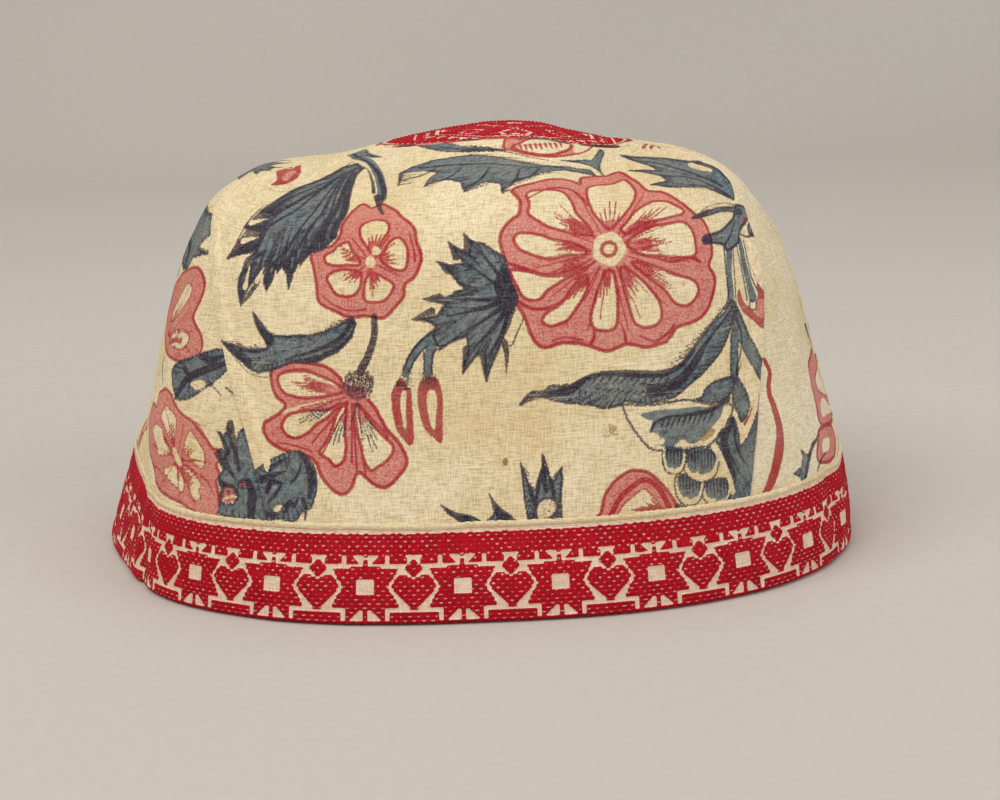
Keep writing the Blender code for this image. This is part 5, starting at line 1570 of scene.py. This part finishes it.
def level_wall(angle, s, depth, z, extra=0.0):
    """Points of the band: moved in and out level, at a height that is given."""
    flat = level_out(angle, s)
    flat[..., 2] = 0
    flat /= np.linalg.norm(flat, axis=-1, keepdims=True)
    points = form(angle, s) + flat * (lie(angle, s) - depth + extra)[..., None]
    points[..., 2] = z
    return points


def band_piece(name, a_from, a_to, step):
    """Part of the band between two angles: the worked face, its turn under the brim, and the turned edge inside."""
    run0, run1 = run_of(a_from) + 0.02, run_of(a_to) - 0.02
    cols = counted(run1 - run0, step)
    run = np.linspace(run0, run1, cols + 1)
    A = angle_of(run)
    c = (run - STAR_RUN) / CELL
    foot = station_at(FOOT_Z)
    wall_s, wall = profile_levels(foot, station_at(BARE_Z), 300)
    wall_z = along(HEIGHTS, wall_s, False)
    turn = np.linspace(0.0, pi, 40)[1:-1]
    section = [(4.70, 1.9), (4.74, 1.5)]
    section += [(2.37 + 2.37 * np.cos(t), FOOT_Z - 0.62 * np.sin(t) ** 0.6) for t in turn]
    section += [(0.0, z) for z in wall_z]
    section = np.array(section)
    under = 2 + len(turn)
    length = np.concatenate([[0], np.cumsum(np.hypot(*np.diff(section, axis=0).T))])
    rows = counted(length[-1], step)
    want = np.linspace(0, length[-1], rows + 1)
    depth, z = np.interp(want, length, section[:, 0]), np.interp(want, length, section[:, 1])
    on_wall = want >= length[under]
    s = np.where(on_wall, np.interp(z, wall_z, wall_s), foot)
    top_run, foot_run = np.interp(TOP_Z, wall_z, length[under:]), length[under]
    r = (top_run - want) / (top_run - foot_run) * 19.9
    CC, RR = np.meshgrid(c, r)
    cover = worked(lambda p, q: is_red(p, q) & (q > -0.8), CC, RR)
    ragged = -0.12 - 0.22 * np.abs(np.cos(pi * CC / 2)) + 0.16 * noise(np.stack([CC, RR, 0 * CC], -1), 1.1, 4)
    cover = np.where(RR > 26.5, 0.0, cover) * ease(RR - ragged, -0.10, 0.10)
    rise, ties_and_groove_shade = stitched(CC, RR, cover)
    AA, SS = np.meshgrid(A, s)
    DD, ZZ = np.meshgrid(depth, A, indexing="ij")[0], np.meshgrid(z, A, indexing="ij")[0]
    wall_share = np.meshgrid(on_wall, A, indexing="ij")[0]
    lift = rise + 0.05 - 0.22 * ease(ZZ, BARE_Z - 0.9, BARE_Z) - 0.12 * (RR < -0.4)
    outer = level_wall(AA, SS, DD, ZZ, np.where(wall_share, lift, np.where(DD > 3.4, -lift, 0.0)))
    outer[..., 2] = np.maximum(outer[..., 2] - np.where(wall_share, 0.0, 0.8 * rise * np.sin(pi * np.clip(DD / 4.7, 0, 1))), 0.0)
    # the hidden side: the top of the turned edge, then up behind the face
    w2 = want[::K]
    d2 = np.where(w2 < foot_run, np.interp(w2, (0, foot_run), (4.2, 0.8)), 0.62)
    z2 = np.where(w2 < foot_run, 1.85, np.maximum(z[::K], 2.2))
    D2, _ = np.meshgrid(d2, A[::K], indexing="ij")
    Z2, _ = np.meshgrid(z2, A[::K], indexing="ij")
    A2, S2 = np.meshgrid(A[::K], s[::K])
    inner = level_wall(A2, S2, D2, Z2)
    cloth = np.stack([CC * CELL, -RR, 0 * CC], -1)
    return shell(name, outer, inner, {"cover": (cover, 0.0), "ties_and_groove_shade": (ties_and_groove_shade, 0.0)}, cloth), (run1 - run0, float(length[-1]))


BAND_CUTS = (("front", 225.0, 332.0), ("right", 332.0, 404.0), ("back", 404.0, 500.0), ("left", 500.0, 585.0))
for side, a_from, a_to in BAND_CUTS:
    piece, size = band_piece("embroidered_band_" + side, radians(a_from), radians(a_to), (0.25 if side == "front" else 0.34) * DETAIL)
    dress(piece, STITCH, ["band_embroidery", "band_turned_edge"])
    FLAT[piece.name] = (size[0], size[1], None)


# ------------------------------------------------------------------ rolled and folded edges
def loop_piece(name, points, vector=None):
    """A closed tube: points [around, section]."""
    n, m = points.shape[:2]
    i = np.arange(n * m).reshape(n, m)
    i = np.concatenate([i, i[:1]], 0)
    i = np.concatenate([i, i[:, :1]], 1)
    quads = np.stack([i[:-1, :-1], i[1:, :-1], i[1:, 1:], i[:-1, 1:]], -1).reshape(-1, 4)
    return make_mesh(name, points.reshape(-1, 3), quads, np.zeros((0, 3)), None, None if vector is None else vector.reshape(-1, 3))


def rolled_hem(name, step):
    n = int(AROUND / step)
    run = np.linspace(0, AROUND, n, endpoint=False)
    A = angle_of(run)
    phi = np.linspace(0, 2 * pi, 20, endpoint=False)
    RR, PP = np.meshgrid(run, phi, indexing="ij")
    AA = np.meshgrid(A, phi, indexing="ij")[0]
    along_roll = np.stack([np.cos(AA) * 94, np.sin(AA) * 83, 0 * AA], -1)
    fat = 1 + 0.20 * noise(along_roll, 6.0, 41) + 0.15 * noise(along_roll, 2.2, 42)
    nip = np.exp(-((((RR / 2.7) % 1.0) - 0.5) / 0.13) ** 2)  # each stitch nips it
    fat = fat - 0.20 * nip
    twist = 0.045 * np.cos(2 * PP - RR * 2 * pi / 1.9 + noise(along_roll, 5.0, 43))
    fine = 0.035 * noise(np.stack([RR, PP * 1.2, 0 * RR], -1), 0.55, 44)
    wander = 0.16 * noise(along_roll, 15, 45) + 0.07 * noise(along_roll, 4, 46)
    high = 0.76 * fat + twist + fine
    wide = 0.46 * fat + twist + fine
    z = 22.55 + 1.4 * wander + high * np.sin(PP)
    points = level_wall(AA, np.full(AA.shape, station_at(22.25)), 0.10 - wide * np.cos(PP), z)
    return loop_piece(name, points, np.stack([RR, PP * 0.6, np.full(RR.shape, 20.0)], -1))


hem = dress(rolled_hem("rolled_hem", 0.30 * DETAIL), COTTON, ["panel_hem_fold"])
values = hem.data.attributes
for ink in Print.inks:
    values.new(ink, "FLOAT", "POINT").data.foreach_set("value", np.full(len(hem.data.vertices), 4.0, np.float32))


def station_of(radius):
    fine = np.linspace(0, 1, 4001)
    return np.interp(-np.asarray(radius, float), -along(HALF_WIDTHS, fine, True), fine)


def crown_fold(name, step):
    n = int(2 * pi * 33 / step)
    A = np.linspace(0, 2 * pi, n, endpoint=False)
    phi = np.linspace(0, 2 * pi, 20, endpoint=False)
    AA, PP = np.meshgrid(A, phi, indexing="ij")
    around = np.stack([np.cos(AA) * 33, np.sin(AA) * 33, 0 * AA], -1)
    nip = np.exp(-(((AA * 33 / 3.0) % 1.0 - 0.5) / 0.16) ** 2)
    fat = 1 + 0.14 * noise(around, 5.0, 51) + 0.06 * noise(around, 1.8, 52) - 0.12 * nip
    radius = 33.0 + 0.35 * noise(around, 12, 53) - 1.25 * fat * np.cos(PP)
    points = laid(AA, station_of(radius), 0.12, 0.50 * fat * np.sin(PP) + 0.03 * noise(np.stack([AA * 33, PP * 2, 0 * AA], -1), 0.6, 54))
    return loop_piece(name, points, np.stack([AA * 33, PP * 1.0, np.full(AA.shape, 60.0)], -1))


fold = dress(crown_fold("crown_edge_turning", 0.32 * DETAIL), COTTON, ["crown_edge_fold"])
p = np.empty(len(fold.data.vertices) * 3, np.float32)
fold.data.vertices.foreach_get("co", p)
p = p.reshape(-1, 3) * 1000
for ink, seed, low in (("pink", 61, 0.30), ("blue", 62, 0.30), ("red", 63, 0.42), ("dark", 64, 0.45)):
    d = (low - noise(p, 9.0, seed)) * 5.0
    fold.data.attributes.new(ink, "FLOAT", "POINT").data.foreach_set("value", d.astype(np.float32))
fold.data.attributes.new("brown", "FLOAT", "POINT").data.foreach_set("value", np.full(len(p), 4.0, np.float32))


# ------------------------------------------------------------------ the crown patch and the other round pieces
def disc(name, radius, depth, thickness, step, worked_face=False, inside_out=False, lumps=0.0, seed=0):
    """A round of cloth over the crown, on a square grid drawn out to a circle."""
    cells = counted(2 * radius, step)
    x = np.linspace(-1, 1, cells + 1)
    X, Y = np.meshgrid(x[::-1] if inside_out else x, x)
    U, V = X * np.sqrt(1 - Y**2 / 2), Y * np.sqrt(1 - X**2 / 2)
    rho, A = np.hypot(U, V), np.arctan2(V, U)
    S = np.minimum(station_of(rho * radius), 0.99999)
    p = form(A, S)
    edge = (1 - rho) * radius
    extra = -edged(edge, 0.5)
    values = None
    if worked_face:
        cx = (p[..., 0] - form(0.0, 0.99999)[0]) / CELL
        cy = (p[..., 1] - form(0.0, 0.99999)[1]) / CELL
        cover = worked(is_red_patch, cx, cy)
        rise, ties_and_groove_shade = stitched(cx, cy, cover, 3)
        extra = extra + rise + 0.03
        values = {"cover": (cover, 0.0), "ties_and_groove_shade": (ties_and_groove_shade, 0.0)}
    if lumps:
        extra = extra + lumps * (noise(p, 9.0, seed) + 0.6 * noise(p, 3.6, seed + 1))
    if inside_out:
        outer = laid(A, S, depth + thickness, -extra)
        inner = laid(A[::K, ::K], S[::K, ::K], depth - 0.2, -np.minimum(extra, 0)[::K, ::K])
    else:
        outer = laid(A, S, depth, extra)
        inner = laid(A[::K, ::K], S[::K, ::K], depth + thickness)
    FLAT[name] = (2 * radius, 2 * radius, pi * radius**2)
    return shell(name, outer, inner, values, np.stack([p[..., 0], p[..., 1], np.full(X.shape, 5.0 + seed)], -1))


crown = dress(disc("crown_patch_embroidery", 31.6, 0.0, 0.62, 0.30 * DETAIL, worked_face=True), STITCH, ["crown_embroidery"])
crown_ground = dress(disc("crown_patch_linen", 37.0, 0.92, 0.55, 2.0, lumps=0.0), LINEN, ["crown_linen"])
crown_wadding = dress(disc("crown_wadding", 39.0, 1.85, 0.8, 1.1, lumps=0.10, seed=7), WADDING, ["interlining_crown"])
crown_lining = dress(disc("crown_lining", 40.2, 3.45, 0.5, 0.9 * DETAIL, inside_out=True, lumps=0.22, seed=9), LINING, ["lining_crown"])


# ------------------------------------------------------------------ lining, wadding and facing
def wall_piece(name, first, last, depth, thickness, step, inside_out, lumps, low_z=3.7, radius=40.5, seed=0):
    s, height = profile_levels(station_at(low_z), float(station_of(radius)), counted(118, step))
    a0, a1 = seam(first, s), seam(last, s)
    if a1[0] < a0[0]:
        a1 = a1 + 2 * pi
    cols = counted(np.max(a1 - a0) * 80, step)
    t = np.linspace(0, 1, cols + 1)
    A = a0[:, None] * (1 - t) + a1[:, None] * t
    S = np.repeat(s[:, None], cols + 1, 1)
    speed = arc_step(A, S)
    A = A + (1 - 2 * t) ** 9 * 0.2 / speed
    left, right = (A - a0[:, None]) * speed, (a1[:, None] - A) * speed
    up = np.linspace(0, height, len(s))[:, None] + 0 * A
    p = form(A, S)
    e = np.minimum(left, right)
    free = ease(up, 17.0, 26.0) * ease(height - up, 0.0, 6.0)
    pull = np.stack([up, e * 0.15, 0 * e + seed], -1)
    extra = lumps * (noise(p, 17, seed) + 0.5 * noise(p, 6, seed + 1)) * free
    if inside_out:
        extra = extra + (0.16 * noise(pull, 3.0, seed + 2) * np.exp(-e / 4.0) + 0.35 * np.exp(-e / 1.6)) * free
    extra = extra - edged(np.minimum(np.minimum(e, up), height - up), 0.4) * 0.6
    if inside_out:
        # seen from inside: columns run the other way, so that the face looks inwards
        outer = laid(A, S, depth + thickness, -extra)[:, ::-1]
        inner = laid(A[::K, ::K], S[::K, ::K], depth - 0.25, -np.minimum(extra, 0)[::K, ::K])[:, ::-1]
    else:
        outer = laid(A, S, depth, extra)
        inner = laid(A[::K, ::K], S[::K, ::K], depth + thickness)
    vector = np.stack([A * 88, up, np.full(A.shape, 3.0 * seed)], -1)
    FLAT[name] = (float((speed[:, :-1] * np.diff(A, axis=1)).sum(1).max()), float(height), float((speed[:-1, :-1] * np.diff(A, axis=1)[:-1]).sum() * height / (len(s) - 1)))
    return shell(name, outer, inner, None, vector[:, ::-1] if inside_out else vector)


LININGS, WADDINGS = [], []
for k, (side, first, last) in enumerate((("left", "back_left", "front_left"), ("front", "front_left", "front_right"),
                                         ("right", "front_right", "back_right"), ("back", "back_right", "closing"))):
    piece = wall_piece("cotton_lining_" + side, first, last, 3.45, 0.5, 0.85 * DETAIL, True, 0.26, seed=70 + k)
    LININGS.append(dress(piece, LINING, ["lining_" + side]))
    piece = wall_piece("wadding_" + side, first, last, 1.85, 0.8, 1.1, False, 0.10, radius=40.2, seed=80 + k)
    WADDINGS.append(dress(piece, WADDING, ["interlining_" + side]))


def strip(name, low_z, high_z, depth, thickness, step, inside_out, seed):
    """A strip of cloth that goes all the way round."""
    s, height = profile_levels(station_at(low_z), station_at(high_z), counted(high_z - low_z, step))
    n = counted(AROUND, step)
    A = angle_of(np.linspace(0, AROUND, n, endpoint=False))
    AA, SS = np.meshgrid(A, s)
    up = np.linspace(0, height, len(s))[:, None] + 0 * AA
    p = form(AA, SS)
    extra = 0.10 * noise(p, 5.0, seed) + 0.06 * noise(p * (1, 1, 0.4), 2.4, seed + 1)
    extra = extra - edged(np.minimum(up, height - up), 0.5)
    run = run_of(AA)
    if inside_out:
        puckers = 0.14 * noise(np.stack([run, up * 0.2, 0 * up], -1), 1.6, seed + 2) * np.exp(-np.minimum(up, height - up) / 2.2)
        outer = laid(AA, SS, depth + thickness, -(extra + puckers))[:, ::-1]
        inner = laid(AA, SS, depth)[:, ::-1][::K, ::K]
    else:
        outer = laid(AA, SS, depth, extra * 0.4)
        inner = laid(AA, SS, depth + thickness)[::K, ::K]
    vector = np.stack([run, up, np.full(AA.shape, 3.0 * seed)], -1)
    FLAT[name] = (AROUND, height, None)
    return shell(name, outer, inner, None, vector[:, ::-1] if inside_out else vector, around=True)


facing = dress(strip("inner_band_facing", 3.7, 20.5, 4.1, 0.6, 0.85 * DETAIL, True, 90), FACING, ["inner_facing"])
band_ground = dress(strip("band_linen_strip", 3.0, 26.0, 0.95, 0.5, 1.6, False, 94), LINEN, ["band_linen"])


# ------------------------------------------------------------------ sewing
def stitches(name, starts, ends, rises, thick, replaced):
    """Separate stitches: short tapered threads that dip into the cloth at both ends."""
    points, tris, quads = [], [], []
    sides, rings = 7, 9
    for a, b, up in zip(starts, ends, rises):
        d = (b - a) / max(np.linalg.norm(b - a), 1e-9)
        n = up / np.linalg.norm(up)
        m = np.cross(d, n)
        base = sum(len(x) for x in points)
        body = []
        for i in range(rings):
            f = (i + 0.5) / rings
            w = thick * (0.55 + 0.45 * np.sin(pi * f) ** 0.5)
            centre = a + (b - a) * (f * 1.0) + n * (np.sin(pi * f) ** 0.7 * thick * 1.15 - thick * 0.35)
            for j in range(sides):
                t = 2 * pi * j / sides + i * 0.35
                body.append(centre + (n * np.cos(t) + m * np.sin(t)) * w)
        body += [a - n * thick * 0.6, b - n * thick * 0.6]
        points.append(np.array(body))
        for i in range(rings - 1):
            for j in range(sides):
                k = (j + 1) % sides
                quads.append((base + i * sides + j, base + i * sides + k, base + (i + 1) * sides + k, base + (i + 1) * sides + j))
        for j in range(sides):
            k = (j + 1) % sides
            tris.append((base + rings * sides, base + k, base + j))
            tris.append((base + rings * sides + 1, base + (rings - 1) * sides + j, base + (rings - 1) * sides + k))
    pts = np.concatenate(points)
    q, t = np.array(quads), np.array(tris)
    return dress(make_mesh(name, pts, q, t), THREAD, replaced)


rng = np.random.default_rng(23)


def on_band(run, z, depth):
    a = angle_of(np.asarray(run, float))
    return level_wall(a, np.full(a.shape, station_at(22.25)), np.full(a.shape, float(depth)) if np.isscalar(depth) else depth, z)


n = int(AROUND / 2.7)
run = (np.arange(n) + 0.5) * 2.7 + rng.uniform(-0.25, 0.25, n)
z0 = 21.45 + rng.uniform(-0.12, 0.12, n)
start, end = on_band(run - 0.35, z0, -0.05), on_band(run + 0.30, z0 + 0.55, -0.52)
up = level_out(angle_of(run), np.full(n, 0.13)) + (0, 0, 0)
hem_sewing = stitches("hem_stitches", start, end, up, 0.13, ["hem_thread"])

n = int(2 * pi * 32.2 / 2.6)
a = np.arange(n) * 2 * pi / n + rng.uniform(-0.006, 0.006, n)
start = laid(a - 0.012, station_of(np.full(n, 31.2)), -0.30)
end = laid(a + 0.010, station_of(np.full(n, 32.3)), -0.42)
crown_sewing = stitches("crown_stitches", start, end, level_out(a, station_of(np.full(n, 32.0))), 0.12, ["crown_thread"])

n = int(AROUND / 4.0)
run = np.arange(n) * AROUND / n
a = angle_of(run)
s19, s20 = np.full(n, station_at(19.6)), np.full(n, station_at(20.9))
start, end = laid(a - 0.006, s19, 4.86), laid(a + 0.006, s20, 4.1)
facing_sewing = stitches("facing_stitches", start, end, -level_out(a, s19), 0.14, ["facing_thread"])


# ------------------------------------------------------------------ the flat size of each piece of cloth
def mm(*values):
    return tuple(v / 1000 for v in values)


def cut(name):
    """The flat size of a piece, with the cloth turned under at its seams left out."""
    w, h, area = FLAT[name]
    return dict(flat=mm(w, h), area=None if area is None else min(area, w * h) / 1e6)


# ------------------------------------------------------------------ the room, the lights and the camera
def backdrop():
    """A pale floor that sweeps up into a wall behind."""
    profile = [(-1.6, 0.0), (0.9, 0.0)]
    profile += [(0.9 + 0.5 * np.sin(t), 0.5 - 0.5 * np.cos(t)) for t in np.linspace(0.1, pi / 2, 14)] + [(1.4, 3.2)]
    xs = np.linspace(-2.4, 2.4, 13)
    points = np.array([(x, y, z) for y, z in profile for x in xs])
    i = np.arange(len(points)).reshape(len(profile), len(xs))
    quads = np.stack([i[:-1, :-1], i[:-1, 1:], i[1:, 1:], i[1:, :-1]], -1).reshape(-1, 4)
    obj = make_mesh("floor", points * 1000, quads, np.zeros((0, 3)))
    n = Nodes("floor")
    at = n.place()
    colour = n.mix(n.between(n.noise(at, 1.1, 3.0, 0.5), 0.35, 0.65), srgb(212, 206, 198), srgb(203, 197, 189))
    colour = n.mix(n.between(n.noise(at, 300.0, 2.0, 0.5), 0.35, 0.65, 0.0, 0.25), colour, srgb(194, 188, 180))
    obj.data.materials.append(n.finish(colour, 0.85, n.bump(n.noise(at, 420.0, 2.0, 0.5), 0.00015, 0.3), 0.0, 0.2))


backdrop()


def soft_light(name, energy, size, at, towards, colour=(1, 1, 1)):
    data = bpy.data.lights.new(name, "AREA")
    data.shape, data.size, data.size_y = "RECTANGLE", size[0], size[1]
    data.energy, data.color = energy, colour
    obj = bpy.data.objects.new(name, data)
    bpy.context.scene.collection.objects.link(obj)
    obj.location = at
    d = Matrix.Translation(towards).translation - obj.location
    obj.rotation_euler = d.to_track_quat("-Z", "Y").to_euler()


soft_light("key", 12.6, (1.3, 1.0), (-0.75, -0.75, 1.35), (0, 0, 0.05), (1.0, 0.97, 0.92))
soft_light("fill", 8.0, (1.6, 1.2), (1.1, -1.0, 0.9), (0, 0, 0.05), (0.95, 0.97, 1.0))
soft_light("top", 5.0, (1.5, 1.5), (0.1, 0.25, 1.5), (0, 0.05, 0.05), (1.0, 0.98, 0.95))

world = bpy.data.worlds.new("studio")
bpy.context.scene.world = world
world.use_nodes = True
world.node_tree.nodes["Background"].inputs["Color"].default_value = (0.80, 0.79, 0.77, 1)
world.node_tree.nodes["Background"].inputs["Strength"].default_value = 0.52
bpy.context.scene.view_settings.view_transform = "Standard"

camera = bpy.data.objects.new("camera", bpy.data.cameras.new("camera"))
bpy.context.scene.collection.objects.link(camera)
camera.data.sensor_width, camera.data.lens = 36.0, 77.98
camera.data.shift_y = -0.0026
camera.data.clip_start, camera.data.clip_end = 0.02, 20
turned = Euler((radians(90 - 12.04), 0, 0)).to_matrix() @ Matrix.Rotation(radians(-2.17), 3, "Z")
camera.matrix_world = Matrix.Translation(tuple(EYE / 1000)) @ turned.to_4x4()
bpy.context.scene.camera = camera
